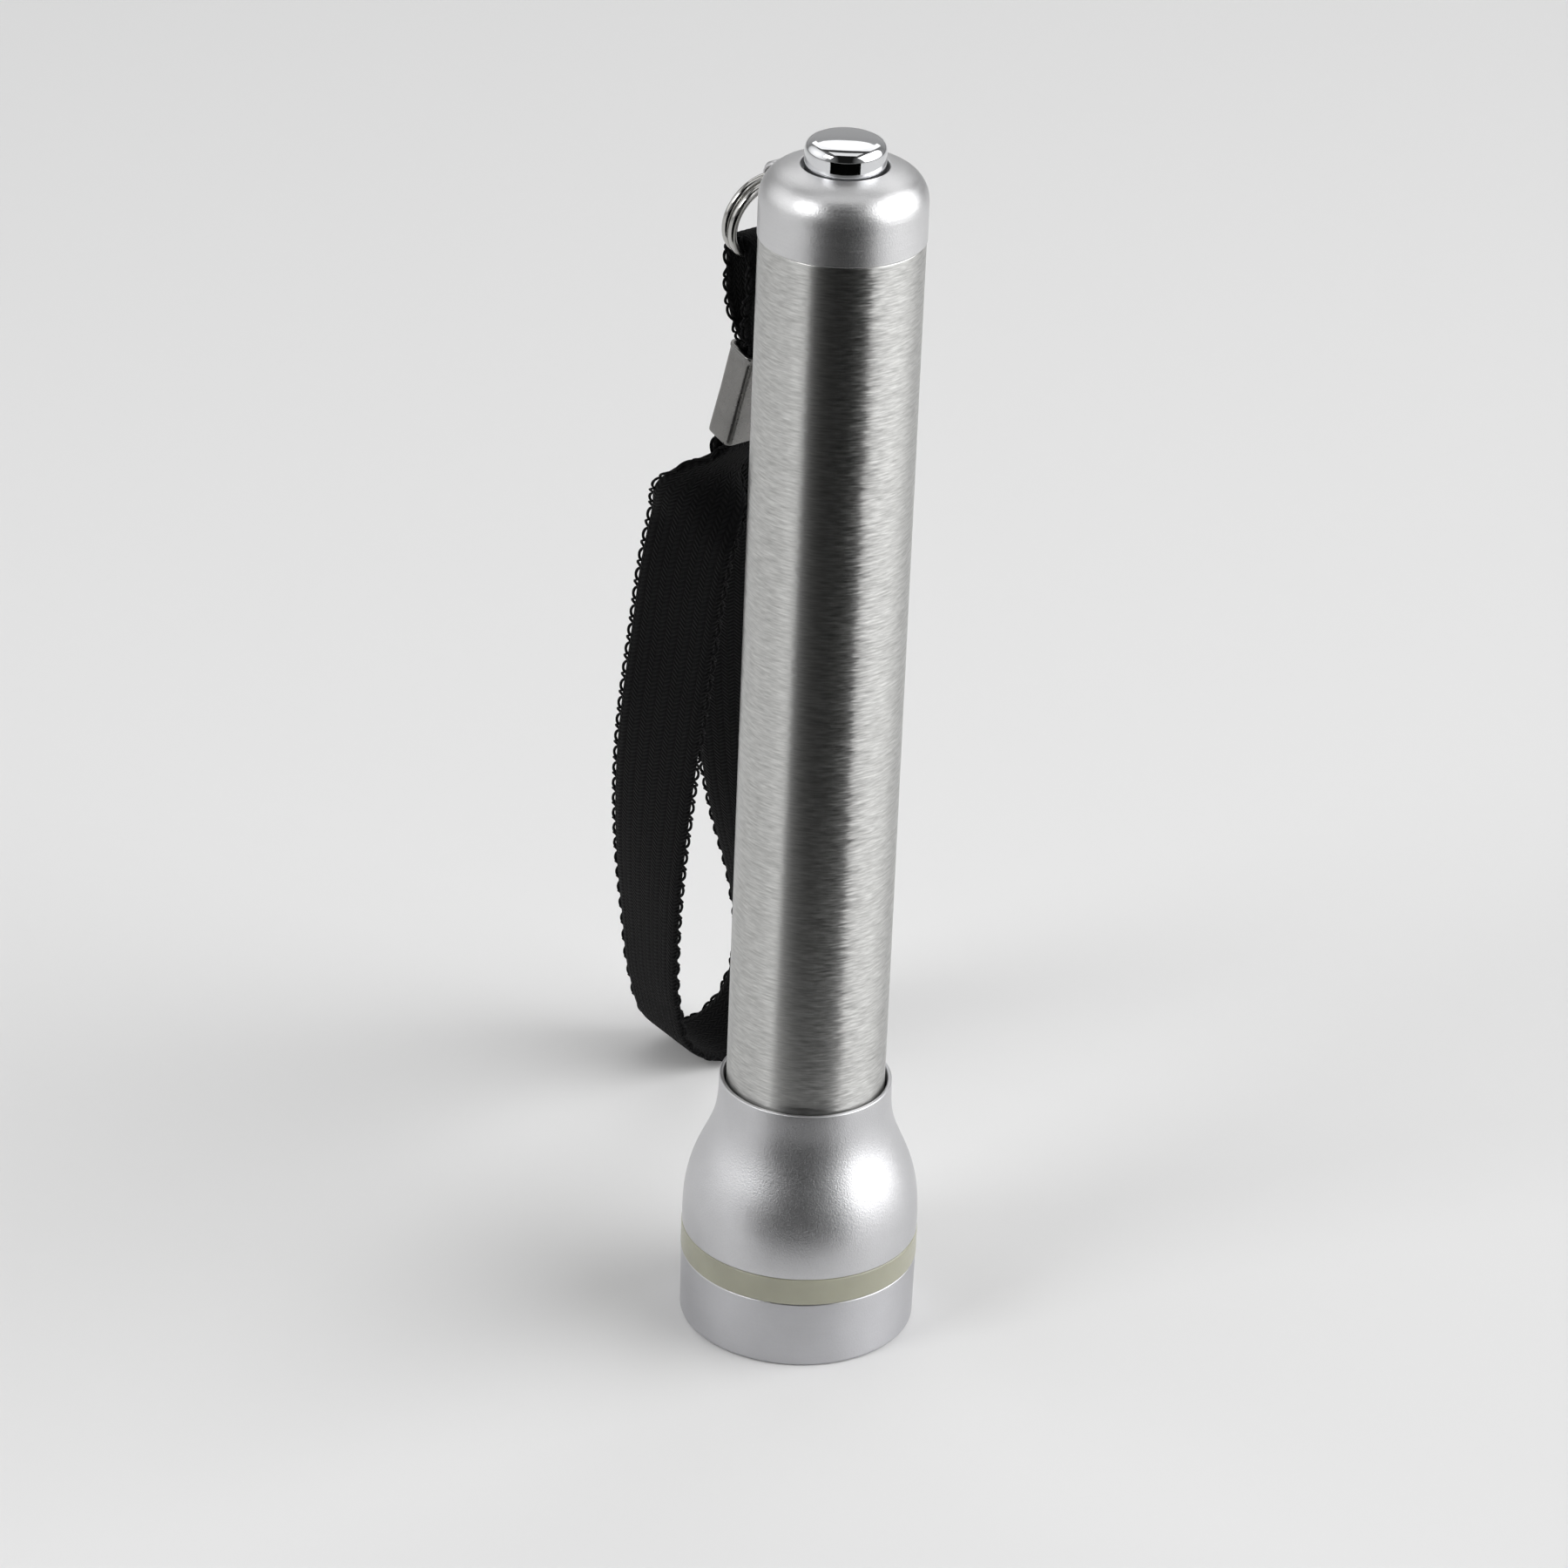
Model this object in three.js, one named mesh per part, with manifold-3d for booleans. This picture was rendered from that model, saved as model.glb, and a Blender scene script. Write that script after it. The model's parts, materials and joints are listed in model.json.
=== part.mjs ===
// Pocket flashlight for two AA cells in line, with a tail button and a wrist strap.
// Millimetres. It stands on its bezel at z = 0, and +Z runs up its axis to the tail button.
import * as THREE from "three";
import { mergeVertices } from "three/addons/utils/BufferGeometryUtils.js";
import Module from "manifold-3d";

const wasm = await Module();
wasm.setup();

// Facets round a turned piece
const OUTER_SIDES = 40;
const INNER_SIDES = 24;
const SMALL_SIDES = 16;
const SEAL_SIDES = 6;
const FILLET_STEPS = 3;
const CURVE_STEPS = 10;

// Clearances
const SLIDE_GAP = 0.2;
const THREAD_GAP = 0.3;
const CELL_GAP = 0.45;
const NECK_GAP = 0.3;
const SEAL_GAP = 0.14;
const SEAT_GAP = 0.2;
const REST_GAP = 0.1;
const WIRE_GAP = 0.25;
const WEB_GAP = 0.35;

// Cells
const CELL_R = 7.15;
const CELL_LENGTH = 50.5;
const CELL_STUD_R = 2.75;
const CELL_STUD_H = 1.4;
const CELL_EDGE = 0.6;

// Barrel, built outwards from the cells
const LINER_WALL = 0.7;
const BARREL_WALL = 0.5;
const COLLAR_WALL = 0.7;
const COLLAR_SPIGOT = 6.6;
const COLLAR_FLANGE = 2.4;
const THREAD_STEP = 0.35;
const THREAD_LENGTH = 7.2;
const THREAD_START = 1.4;
const SEAL_R = 0.42;

// Head
const HEAD_R = 13.48;
const HEAD_WALL = 1.08;
const BEZEL_H = 8.18;
const BEZEL_TAPER = 0.1;
const BEZEL_EDGE = 0.45;
const BEZEL_LIP = 1.6;
const SPIGOT_WALL = 0.7;
const GLOW_RING_H = 3.29;
const GLOW_RING_PROUD = 0.05;
const SHELL_H = 19.11;
const SHELL_WALL_H = 1.53;
const BELL_PULL_LOW = 8.5;
const BELL_PULL_HIGH = 6.6;
const NECK_WALL = 0.48;
const NECK_LIP_H = 1.98;
const NECK_FLARE = 0.1;
const GASKET_T = 0.4;
const LENS_T = 1.5;
const LENS_OVERLAP = 0.9;
const REFLECTOR_H = 10.3;
const REFLECTOR_RIM = 0.7;
const REFLECTOR_WALL = 0.8;
const REFLECTOR_FLANGE = 1.0;
const REFLECTOR_THROAT_H = 0.8;
const LED_R = 2.5;
const LED_LENGTH = 8.6;
const LED_FLANGE_R = 0.35;
const LED_FLANGE_H = 1.0;
const BOARD_R = 7.5;
const BOARD_T = 1.2;
const HOLDER_T = 1.4;
const HOLDER_BOSS_H = 2.0;
const CONTACT_STEM_R = 1.5;
const CONTACT_HEAD_R = 3.2;
const CONTACT_T = 0.8;

// Tail
const SPRING_H = 7.2;
const SPRING_TURNS = 4.5;
const SPRING_WIRE_R = 0.4;
const SPRING_CELL_R = 3.4;
const SPRING_TAIL_R = 4.7;
const CAP_PROUD = 0.1;
const CAP_EDGE = 0.15;
const CAP_TOP_WALL = 1.6;
const CAP_SHOULDER = 3.6;
const CAP_DOME = 1.1;
const SKIRT_LENGTH = 7.4;
const SKIRT_EDGE = 0.6;
const SKIRT_WALL = 0.75;
const RETAINER_H = 1.2;
const RETAINER_RING = 1.0;
const SWITCH_PLATE_T = 0.8;
const HOUSING_H = 9.1;
const HOUSING_WALL = 0.8;
const HOUSING_FLOOR_Z = 1.8;
const HOUSING_FLOOR_T = 1.5;
const POCKET_H = 2.3;
const BUTTON_R = 4.4;
const BUTTON_GAP = 0.34;
const BUTTON_HEIGHT = 3.1;
const BUTTON_FLANGE = 1.0;
const BUTTON_FLANGE_T = 1.5;
const BUTTON_EDGE = 1.3;
const BUTTON_CROWN = 0.5;
const BUTTON_CROWN_STEPS = 4;
const PLUNGER_R = 1.5;
const PLUNGER_LENGTH = 7.8;
const BUTTON_SPRING_TURNS = 4;
const BUTTON_SPRING_WIRE_R = 0.3;
const BUTTON_SPRING_R = 4.2;

// Lug and split ring behind the cap
const LUG_ANGLE = 130 * Math.PI / 180;
const LUG_REACH = 1.8;
const LUG_HEIGHT = 2.9;
const LUG_HOLE_R = 1.35;
const LUG_RIM = 0.65;
const LUG_T = 1.8;
const LUG_BEVEL = 0.25;
const RING_R = 4.6;
const RING_WIRE_R = 0.5;
const RING_PITCH = 1.15;
const RING_LEAN = 15 * Math.PI / 180;
const RING_CROSSING = 20 * Math.PI / 180;

// Wrist strap
const RING_HANG = new THREE.Vector3(-0.09, 0.2, -0.98).normalize();
const EYE_HANG = new THREE.Vector3(0.08, 0.2, -0.98).normalize();
const CLAMP_HANG = new THREE.Vector3(-0.19, 0.2, -0.97).normalize();
const WEB_T = 1.1;
const WEB_WIDTH = 10.4;
const WEB_GATHERED = 5.0;
const WEB_CHAMFER = 0.3;
const EYE_LENGTH = 12.2;
const EYE_SWELL = 1.2;
const EYE_SPREAD = 3.0;
const CLAMP_LENGTH = 12.0;
const CLAMP_WALL = 0.45;
const CLAMP_GRIP = 4.6;
const CLAMP_LEAD = 1.2;
const CLAMP_CORNER = 0.8;
const SPREAD_LENGTH = 9.0;
const TWIST_LENGTH = 15.0;
const FRONT_LEG_ANGLE = -28 * Math.PI / 180;
const TURN_ANGLE = -54 * Math.PI / 180;
const BACK_LEG_ANGLE = -12 * Math.PI / 180;
const EYE_STEPS = 28;
const LOOP_STEPS = 84;
const LOOP_ROUTE = [
  [-13.7, 14.6, 97.5], [-15.1, 16.4, 91.3], [-16.3, 19.3, 83.2], [-17.2, 23.3, 73.7], [-18.3, 28.3, 61.7],
  [-19.2, 34.3, 49.0], [-19.7, 41.0, 35.7], [-19.6, 47.6, 22.9], [-18.9, 52.6, 11.6], [-17.0, 55.6, 4.2],
  [-13.0, 58.6, 1.2], [-8.6, 61.6, 3.2], [-6.4, 62.4, 9.6], [-6.8, 59.8, 19.9], [-8.4, 54.0, 33.4],
  [-9.6, 46.7, 48.9], [-10.3, 38.3, 64.5], [-10.5, 29.9, 78.5], [-10.6, 23.1, 89.3], [-10.8, 19.1, 96.0],
];

// Radii that follow from the sizes above
const linerBore = CELL_R + CELL_GAP;
const linerR = linerBore + LINER_WALL;
const barrelBore = linerR + SLIDE_GAP;
const barrelR = barrelBore + BARREL_WALL;
const collarR = barrelBore - SLIDE_GAP;
const collarBore = collarR - COLLAR_WALL;
const frontThreadR = barrelR - THREAD_STEP;
const frontThreadBore = frontThreadR + THREAD_GAP;
const neckBore = barrelR + NECK_GAP;
const neckR = neckBore + NECK_WALL;
const headBore = HEAD_R - HEAD_WALL;
const spigotR = headBore - SLIDE_GAP;
const bezelBore = spigotR - SPIGOT_WALL;
const lensR = bezelBore - SLIDE_GAP;
const bezelOpening = lensR - LENS_OVERLAP;
const throatR = LED_R + LED_FLANGE_R + SLIDE_GAP;
const skirtR = collarBore - THREAD_GAP;
const skirtBore = skirtR - SKIRT_WALL;
const switchR = skirtBore - SLIDE_GAP;
const capR = barrelR + CAP_PROUD;
const buttonHole = BUTTON_R + BUTTON_GAP;
const buttonFlangeR = BUTTON_R + BUTTON_FLANGE;
const housingBore = switchR - HOUSING_WALL;

// Heights, stacked from the table to the button
const zShell = BEZEL_H + GLOW_RING_H;
const zNeckTop = zShell + SHELL_H;
const zLens = BEZEL_LIP + GASKET_T;
const zReflector = zLens + LENS_T;
const zBoard = zReflector + REFLECTOR_H;
const zHolder = zBoard + BOARD_T;
const zHeadShoulder = zHolder + HOLDER_T;
const zContactHead = zHeadShoulder + HOLDER_BOSS_H;
const zCellFront = zContactHead + CONTACT_T;
const zCellRear = zCellFront + CELL_LENGTH;
const zCellsEnd = zCellRear + CELL_LENGTH;
const zFrontThread = zHeadShoulder + THREAD_START;
const zCollarFlange = zFrontThread + THREAD_LENGTH;
const zTube = zCollarFlange + COLLAR_FLANGE;
const zCollarTop = zTube + COLLAR_SPIGOT;
const zSwitchPlate = zCellsEnd + SPRING_H;
const zRetainer = zSwitchPlate - RETAINER_H;
const zSkirt = zRetainer - SKIRT_EDGE;
const zSeam = zSkirt + SKIRT_LENGTH;
const zRearCollarTop = zSeam - 2 * (SEAL_R + SEAL_GAP);
const zRearCollar = zSkirt - SEAT_GAP;
const zHousing = zSwitchPlate + SWITCH_PLATE_T;
const zHousingFloor = zHousing + HOUSING_FLOOR_Z;
const zHousingSeat = zHousingFloor + HOUSING_FLOOR_T;
const zPocket = zHousing + HOUSING_H;
const zPocketTop = zPocket + POCKET_H;
const zRim = zPocketTop + CAP_TOP_WALL;
const zButtonTop = zRim + BUTTON_HEIGHT;
const zButtonFlangeTop = zPocketTop - REST_GAP;
const zButtonFlange = zButtonFlangeTop - BUTTON_FLANGE_T;

// Position-only geometry with shared corners, no empty triangles and its faces outwards
function closed(geometry) {
  const bare = new THREE.BufferGeometry();
  bare.setAttribute("position", geometry.getAttribute("position"));
  bare.setIndex(geometry.index);
  const merged = mergeVertices(bare, 1e-4);
  const position = merged.getAttribute("position");
  const corners = [new THREE.Vector3(), new THREE.Vector3(), new THREE.Vector3()];
  const kept = [];
  let volume = 0;
  for (let i = 0; i < merged.index.count; i += 3) {
    const triple = [0, 1, 2].map((k) => merged.index.getX(i + k));
    if (new Set(triple).size < 3) {
      continue;
    }
    triple.forEach((vertex, k) => corners[k].fromBufferAttribute(position, vertex));
    volume += corners[0].dot(corners[1].clone().cross(corners[2]));
    kept.push(triple);
  }
  merged.setIndex(kept.flatMap((triple) => (volume < 0 ? triple.reverse() : triple)));
  return merged;
}

// Points of an outline in which a corner [r, z, fillet] is rounded
function rounded(outline) {
  const points = [];
  outline.forEach(([r, z, fillet], i) => {
    const corner = new THREE.Vector2(r, z);
    if (!fillet) {
      points.push(corner);
      return;
    }
    const before = outline[(i + outline.length - 1) % outline.length];
    const after = outline[(i + 1) % outline.length];
    const back = new THREE.Vector2(before[0], before[1]).sub(corner).normalize();
    const ahead = new THREE.Vector2(after[0], after[1]).sub(corner).normalize();
    const half = Math.acos(THREE.MathUtils.clamp(back.dot(ahead), -1, 1)) / 2;
    const reach = fillet / Math.tan(half);
    const centre = back.clone().add(ahead).normalize().multiplyScalar(fillet / Math.sin(half)).add(corner);
    const start = back.clone().multiplyScalar(reach).add(corner).sub(centre);
    const end = ahead.clone().multiplyScalar(reach).add(corner).sub(centre);
    const sweep = Math.atan2(start.cross(end), start.dot(end));
    for (let k = 0; k <= FILLET_STEPS; k += 1) {
      points.push(start.clone().rotateAround(new THREE.Vector2(), sweep * k / FILLET_STEPS).add(centre));
    }
  });
  return points;
}

// A solid turned about Z from a closed outline of [radius, height] points
function turned(outline, sides) {
  const points = rounded(outline);
  points.push(points[0].clone());
  return closed(new THREE.LatheGeometry(points, sides).rotateX(Math.PI / 2));
}

function tubeOutline(inner, outer, bottom, top) {
  return [[inner, bottom], [outer, bottom], [outer, top], [inner, top]];
}

// An O-ring as a turned round section
function oRing(centreR, centreZ) {
  const outline = [];
  for (let k = 0; k < SEAL_SIDES; k += 1) {
    const angle = 2 * Math.PI * k / SEAL_SIDES;
    outline.push([centreR + SEAL_R * Math.cos(angle), centreZ + SEAL_R * Math.sin(angle)]);
  }
  return turned(outline, INNER_SIDES);
}

// A closed solid through rings of points, with flat ends
function lofted(rings) {
  const count = rings[0].length;
  const positions = rings.flatMap((ring) => ring.flatMap((point) => point.toArray()));
  const faces = [];
  for (let i = 0; i + 1 < rings.length; i += 1) {
    for (let k = 0; k < count; k += 1) {
      const next = (k + 1) % count;
      const [a, b] = [i * count + k, i * count + next];
      faces.push(a, b, b + count, a, b + count, a + count);
    }
  }
  const last = (rings.length - 1) * count;
  for (let k = 1; k + 1 < count; k += 1) {
    faces.push(0, k + 1, k, last, last + k, last + k + 1);
  }
  const geometry = new THREE.BufferGeometry();
  geometry.setAttribute("position", new THREE.Float32BufferAttribute(positions, 3));
  geometry.setIndex(faces);
  return closed(geometry);
}

// A round wire along points, each with the two directions that span its section
function wire(path, radius, sides) {
  return lofted(path.map(({ at, across, over }) => {
    const ring = [];
    for (let k = 0; k < sides; k += 1) {
      const angle = 2 * Math.PI * k / sides;
      const point = at.clone().addScaledVector(across, radius * Math.cos(angle));
      ring.push(point.addScaledVector(over, radius * Math.sin(angle)));
    }
    return ring;
  }));
}

// Least distance between turns of one wire, leaving out its near neighbours along the wire
function leastSelfGap(path, radius, stepsPerTurn) {
  let least = Infinity;
  for (let i = 0; i < path.length; i += 1) {
    for (let k = i + Math.round(stepsPerTurn * 0.6); k < path.length; k += 1) {
      least = Math.min(least, path[i].at.distanceTo(path[k].at));
    }
  }
  return least - 2 * radius;
}

// A coil spring about Z
function spring(name, bottom, top, bottomR, topR, turns, wireR) {
  const stepsPerTurn = 8;
  const steps = Math.round(turns * stepsPerTurn);
  const path = [];
  for (let i = 0; i <= steps; i += 1) {
    const share = i / steps;
    const angle = 2 * Math.PI * turns * share;
    const across = new THREE.Vector3(Math.cos(angle), Math.sin(angle), 0);
    const low = bottom + wireR;
    const at = across.clone().multiplyScalar(bottomR + (topR - bottomR) * share);
    at.z = low + (top - wireR - low) * share;
    path.push({ at, across, over: new THREE.Vector3(0, 0, 1) });
  }
  console.log(`${name}: least gap ${leastSelfGap(path, wireR, stepsPerTurn).toFixed(2)} mm`);
  return wire(path, wireR, 5);
}

function toManifold(geometry) {
  return new wasm.Manifold(new wasm.Mesh({
    numProp: 3,
    vertProperties: new Float32Array(geometry.getAttribute("position").array),
    triVerts: new Uint32Array(geometry.index.array),
  }));
}

function joined(first, second) {
  const mesh = toManifold(first).add(toManifold(second)).getMesh();
  const geometry = new THREE.BufferGeometry();
  geometry.setAttribute("position", new THREE.Float32BufferAttribute(mesh.vertProperties, 3));
  geometry.setIndex(Array.from(mesh.triVerts));
  return closed(geometry);
}

const part = new THREE.Group();
part.name = "flashlight";

function add(name, geometry, color, metalness, roughness) {
  const mesh = new THREE.Mesh(geometry, new THREE.MeshStandardMaterial({ color, metalness, roughness }));
  mesh.name = name;
  part.add(mesh);
}

// Head: bezel, lens and glow ring
add("bezel", turned([
  [bezelOpening, 0],
  [HEAD_R - BEZEL_TAPER, 0, BEZEL_EDGE],
  [HEAD_R, BEZEL_H, BEZEL_EDGE / 3],
  [spigotR, BEZEL_H],
  [spigotR, zHolder],
  [bezelBore, zHolder],
  [bezelBore, BEZEL_LIP],
  [bezelOpening, BEZEL_LIP],
], OUTER_SIDES), 0x8d9093, 0.9, 0.35);
add("lens_gasket", turned(tubeOutline(bezelOpening, lensR, BEZEL_LIP, zLens), INNER_SIDES), 0x1a1a1a, 0, 0.8);
add("lens", turned([[0, zLens], [lensR, zLens], [lensR, zReflector], [0, zReflector]], INNER_SIDES),
  0xdfe8ee, 0, 0.05);
add("glow_ring", turned([
  [headBore, BEZEL_H],
  [HEAD_R + GLOW_RING_PROUD, BEZEL_H, GLOW_RING_PROUD * 4],
  [HEAD_R + GLOW_RING_PROUD, zShell, GLOW_RING_PROUD * 4],
  [headBore, zShell],
], OUTER_SIDES), 0xc9c4a8, 0, 0.4);

// Head shell: straight wall, bell and neck lip outside, thread bore and neck bore inside
const bell = new THREE.CubicBezierCurve(
  new THREE.Vector2(HEAD_R, zShell + SHELL_WALL_H),
  new THREE.Vector2(HEAD_R, zShell + SHELL_WALL_H + BELL_PULL_LOW),
  new THREE.Vector2(neckR + NECK_FLARE, zNeckTop - NECK_LIP_H - BELL_PULL_HIGH),
  new THREE.Vector2(neckR + NECK_FLARE / 2, zNeckTop - NECK_LIP_H),
).getPoints(CURVE_STEPS).map((point) => [point.x, point.y]);
const zThreadBoreTop = zCollarFlange - SEAT_GAP;
add("head_shell", turned([
  [headBore, zShell],
  [HEAD_R, zShell, BEZEL_EDGE / 3],
  ...bell,
  [neckR, zNeckTop, NECK_WALL / 3],
  [neckBore, zNeckTop, NECK_WALL / 3],
  [neckBore, zThreadBoreTop],
  [frontThreadBore, zThreadBoreTop],
  [frontThreadBore, zHeadShoulder],
  [headBore, zHeadShoulder],
], OUTER_SIDES), 0xb4b7ba, 0.9, 0.3);

// Reflector, a parabola from its rim to the lamp's throat
const reflectorRim = lensR - REFLECTOR_RIM;
const zThroat = zBoard - REFLECTOR_THROAT_H;
const dish = [];
for (let i = 0; i <= CURVE_STEPS; i += 1) {
  const z = zReflector + (zThroat - zReflector) * i / CURVE_STEPS;
  const depth = (zThroat - z) / (zThroat - zReflector);
  dish.push([Math.sqrt(throatR ** 2 + (reflectorRim ** 2 - throatR ** 2) * depth), z]);
}
const zFlange = zReflector + REFLECTOR_FLANGE;
const back = dish.filter(([, z]) => z > zFlange).map(([r, z]) => [r + REFLECTOR_WALL, z]);
const reflectorNeck = [[throatR, zBoard], [throatR + REFLECTOR_WALL, zBoard]];
add("reflector", turned([
  ...dish,
  ...reflectorNeck,
  ...back.reverse(),
  [back[back.length - 1][0], zFlange],
  [lensR, zFlange],
  [lensR, zReflector],
], INNER_SIDES), 0xe6e8ea, 1, 0.08);

// Lamp, its board and the holder with the front contact
add("led_lamp", turned([
  [0, zBoard],
  [LED_R + LED_FLANGE_R, zBoard],
  [LED_R + LED_FLANGE_R, zBoard - LED_FLANGE_H],
  [LED_R, zBoard - LED_FLANGE_H],
  [LED_R, zBoard - LED_LENGTH, LED_R * 0.96],
  [0, zBoard - LED_LENGTH],
], SMALL_SIDES), 0xf2f1e2, 0, 0.1);
add("led_board", turned([[0, zBoard], [BOARD_R, zBoard], [BOARD_R, zHolder], [0, zHolder]], INNER_SIDES),
  0x1f5a34, 0, 0.5);
const holderBossR = collarBore - THREAD_GAP;
const holderBore = CONTACT_STEM_R + SLIDE_GAP;
add("led_holder", turned([
  [holderBore, zHolder],
  [headBore - SLIDE_GAP, zHolder],
  [headBore - SLIDE_GAP, zHeadShoulder],
  [holderBossR, zHeadShoulder],
  [holderBossR, zContactHead],
  [holderBore, zContactHead],
], INNER_SIDES), 0x24262a, 0, 0.55);
add("front_contact", turned([
  [0, zHolder],
  [CONTACT_STEM_R, zHolder],
  [CONTACT_STEM_R, zContactHead],
  [CONTACT_HEAD_R, zContactHead],
  [CONTACT_HEAD_R, zCellFront, CONTACT_T / 3],
  [0, zCellFront],
], SMALL_SIDES), 0xc9a24d, 1, 0.3);

// Barrel: front collar with its seal, tube, liner and rear collar
const sealGrooveR = neckBore - 2 * (SEAL_R + SEAL_GAP);
const zSeal = zCollarFlange + COLLAR_FLANGE / 2;
const sealHalf = SEAL_R + SEAL_GAP;
add("front_collar", turned([
  [collarBore, zFrontThread],
  [frontThreadR, zFrontThread],
  [frontThreadR, zCollarFlange],
  [barrelR, zCollarFlange],
  [barrelR, zSeal - sealHalf],
  [sealGrooveR, zSeal - sealHalf],
  [sealGrooveR, zSeal + sealHalf],
  [barrelR, zSeal + sealHalf],
  [barrelR, zTube],
  [collarR, zTube],
  [collarR, zCollarTop],
  [collarBore, zCollarTop],
], INNER_SIDES), 0xa9acaf, 0.9, 0.35);
add("front_seal", oRing(neckBore - sealHalf, zSeal), 0x151515, 0, 0.7);
add("barrel_tube", turned(tubeOutline(barrelBore, barrelR, zTube, zSeam), OUTER_SIDES), 0xa0a2a4, 1, 0.25);
add("cell_liner", turned(tubeOutline(linerBore, linerR, zCollarTop + REST_GAP, zRearCollar - REST_GAP),
  INNER_SIDES), 0xdedbd0, 0, 0.6);
add("rear_collar", turned(tubeOutline(collarBore, collarR, zRearCollar, zRearCollarTop), INNER_SIDES),
  0xa9acaf, 0.9, 0.35);

// Cells, with their studs towards the head
function cell(bottom) {
  return turned([
    [0, bottom],
    [CELL_STUD_R, bottom, CELL_STUD_H / 4],
    [CELL_STUD_R, bottom + CELL_STUD_H],
    [CELL_R, bottom + CELL_STUD_H, CELL_EDGE],
    [CELL_R, bottom + CELL_LENGTH, CELL_EDGE],
    [0, bottom + CELL_LENGTH],
  ], INNER_SIDES);
}
add("cell_front", cell(zCellFront), 0x3a4a5c, 0.4, 0.4);
add("cell_rear", cell(zCellRear), 0x3a4a5c, 0.4, 0.4);
add("tail_spring", spring("tail_spring", zCellsEnd + REST_GAP, zSwitchPlate - REST_GAP, SPRING_CELL_R,
  SPRING_TAIL_R, SPRING_TURNS, SPRING_WIRE_R), 0xc4c6c8, 1, 0.25);

// Tail cap: threaded skirt, rounded shoulder and shallow dome, with the lug on its back
const radial = new THREE.Vector3(Math.cos(LUG_ANGLE), Math.sin(LUG_ANGLE), 0);
const axial = new THREE.Vector3(0, 0, 1);
const tangent = radial.clone().cross(axial);
const lugHoleR = capR + LUG_REACH;
const zLugHole = zSeam + LUG_HEIGHT;
const lugR = LUG_HOLE_R + LUG_RIM;
const capBody = turned([
  [skirtBore, zSkirt],
  [skirtR, zSkirt],
  [skirtR, zSeam],
  [capR, zSeam, CAP_EDGE],
  [capR, zRim - CAP_DOME, CAP_SHOULDER],
  [buttonHole, zRim, CAP_EDGE],
  [buttonHole, zPocketTop],
  [housingBore, zPocketTop],
  [housingBore, zPocket],
  [skirtBore, zPocket],
], OUTER_SIDES);
const lugShape = new THREE.Shape();
const lugRoot = (skirtBore + capR) / 2;
lugShape.moveTo(lugRoot, zLugHole - lugR);
lugShape.lineTo(lugHoleR, zLugHole - lugR);
lugShape.absarc(lugHoleR, zLugHole, lugR, -Math.PI / 2, Math.PI / 2, false);
lugShape.lineTo(lugRoot, zLugHole + lugR);
lugShape.holes.push(new THREE.Path().absarc(lugHoleR, zLugHole, LUG_HOLE_R, 0, 2 * Math.PI, true));
const lug = new THREE.ExtrudeGeometry(lugShape, {
  depth: LUG_T - 2 * LUG_BEVEL,
  curveSegments: 9,
  bevelSize: LUG_BEVEL,
  bevelOffset: -LUG_BEVEL,
  bevelThickness: LUG_BEVEL,
  bevelSegments: 1,
});
lug.translate(0, 0, LUG_BEVEL - LUG_T / 2);
lug.applyMatrix4(new THREE.Matrix4().makeBasis(radial, axial, tangent));
lug.setIndex([...Array(lug.getAttribute("position").count).keys()]);
add("tail_cap", joined(capBody, closed(lug)), 0xb9bcbf, 0.9, 0.3);
add("cap_seal", oRing((barrelBore + skirtR) / 2, zSeam - SEAL_R - SEAL_GAP), 0x151515, 0, 0.7);

// Switch in the cap
const retainerBore = switchR - RETAINER_RING;
add("switch_retainer", turned(tubeOutline(retainerBore, switchR, zRetainer, zSwitchPlate), INNER_SIDES),
  0x8f9194, 0.9, 0.4);
add("switch_contact", turned([
  [0, zSwitchPlate],
  [switchR, zSwitchPlate],
  [switchR, zHousing],
  [0, zHousing],
], INNER_SIDES), 0xc9a24d, 1, 0.3);
const plungerBore = PLUNGER_R + SLIDE_GAP;
add("switch_housing", turned([
  [housingBore, zHousing],
  [switchR, zHousing],
  [switchR, zPocket],
  [housingBore, zPocket],
  [housingBore, zHousingSeat],
  [plungerBore, zHousingSeat],
  [plungerBore, zHousingFloor],
  [housingBore, zHousingFloor],
], INNER_SIDES), 0x1d1e20, 0, 0.5);
add("switch_plunger", turned([
  [0, zButtonFlange - PLUNGER_LENGTH],
  [PLUNGER_R, zButtonFlange - PLUNGER_LENGTH],
  [PLUNGER_R, zButtonFlange],
  [0, zButtonFlange],
], SMALL_SIDES), 0xd8d4c6, 0, 0.5);
const buttonCrown = [];
for (let step = 1; step < BUTTON_CROWN_STEPS; step += 1) {
  const out = 1 - step / BUTTON_CROWN_STEPS;
  buttonCrown.push([BUTTON_R * out, zButtonTop - BUTTON_CROWN * out ** 2]);
}
add("button", turned([
  [0, zButtonFlange],
  [buttonFlangeR, zButtonFlange],
  [buttonFlangeR, zButtonFlangeTop],
  [BUTTON_R, zButtonFlangeTop],
  [BUTTON_R, zButtonTop - BUTTON_CROWN, BUTTON_EDGE],
  ...buttonCrown,
  [0, zButtonTop],
], OUTER_SIDES), 0xd5d7d9, 1, 0.08);
add("button_spring", spring("button_spring", zHousingSeat + REST_GAP, zButtonFlange - REST_GAP,
  BUTTON_SPRING_R, BUTTON_SPRING_R, BUTTON_SPRING_TURNS, BUTTON_SPRING_WIRE_R), 0xc4c6c8, 1, 0.25);

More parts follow.
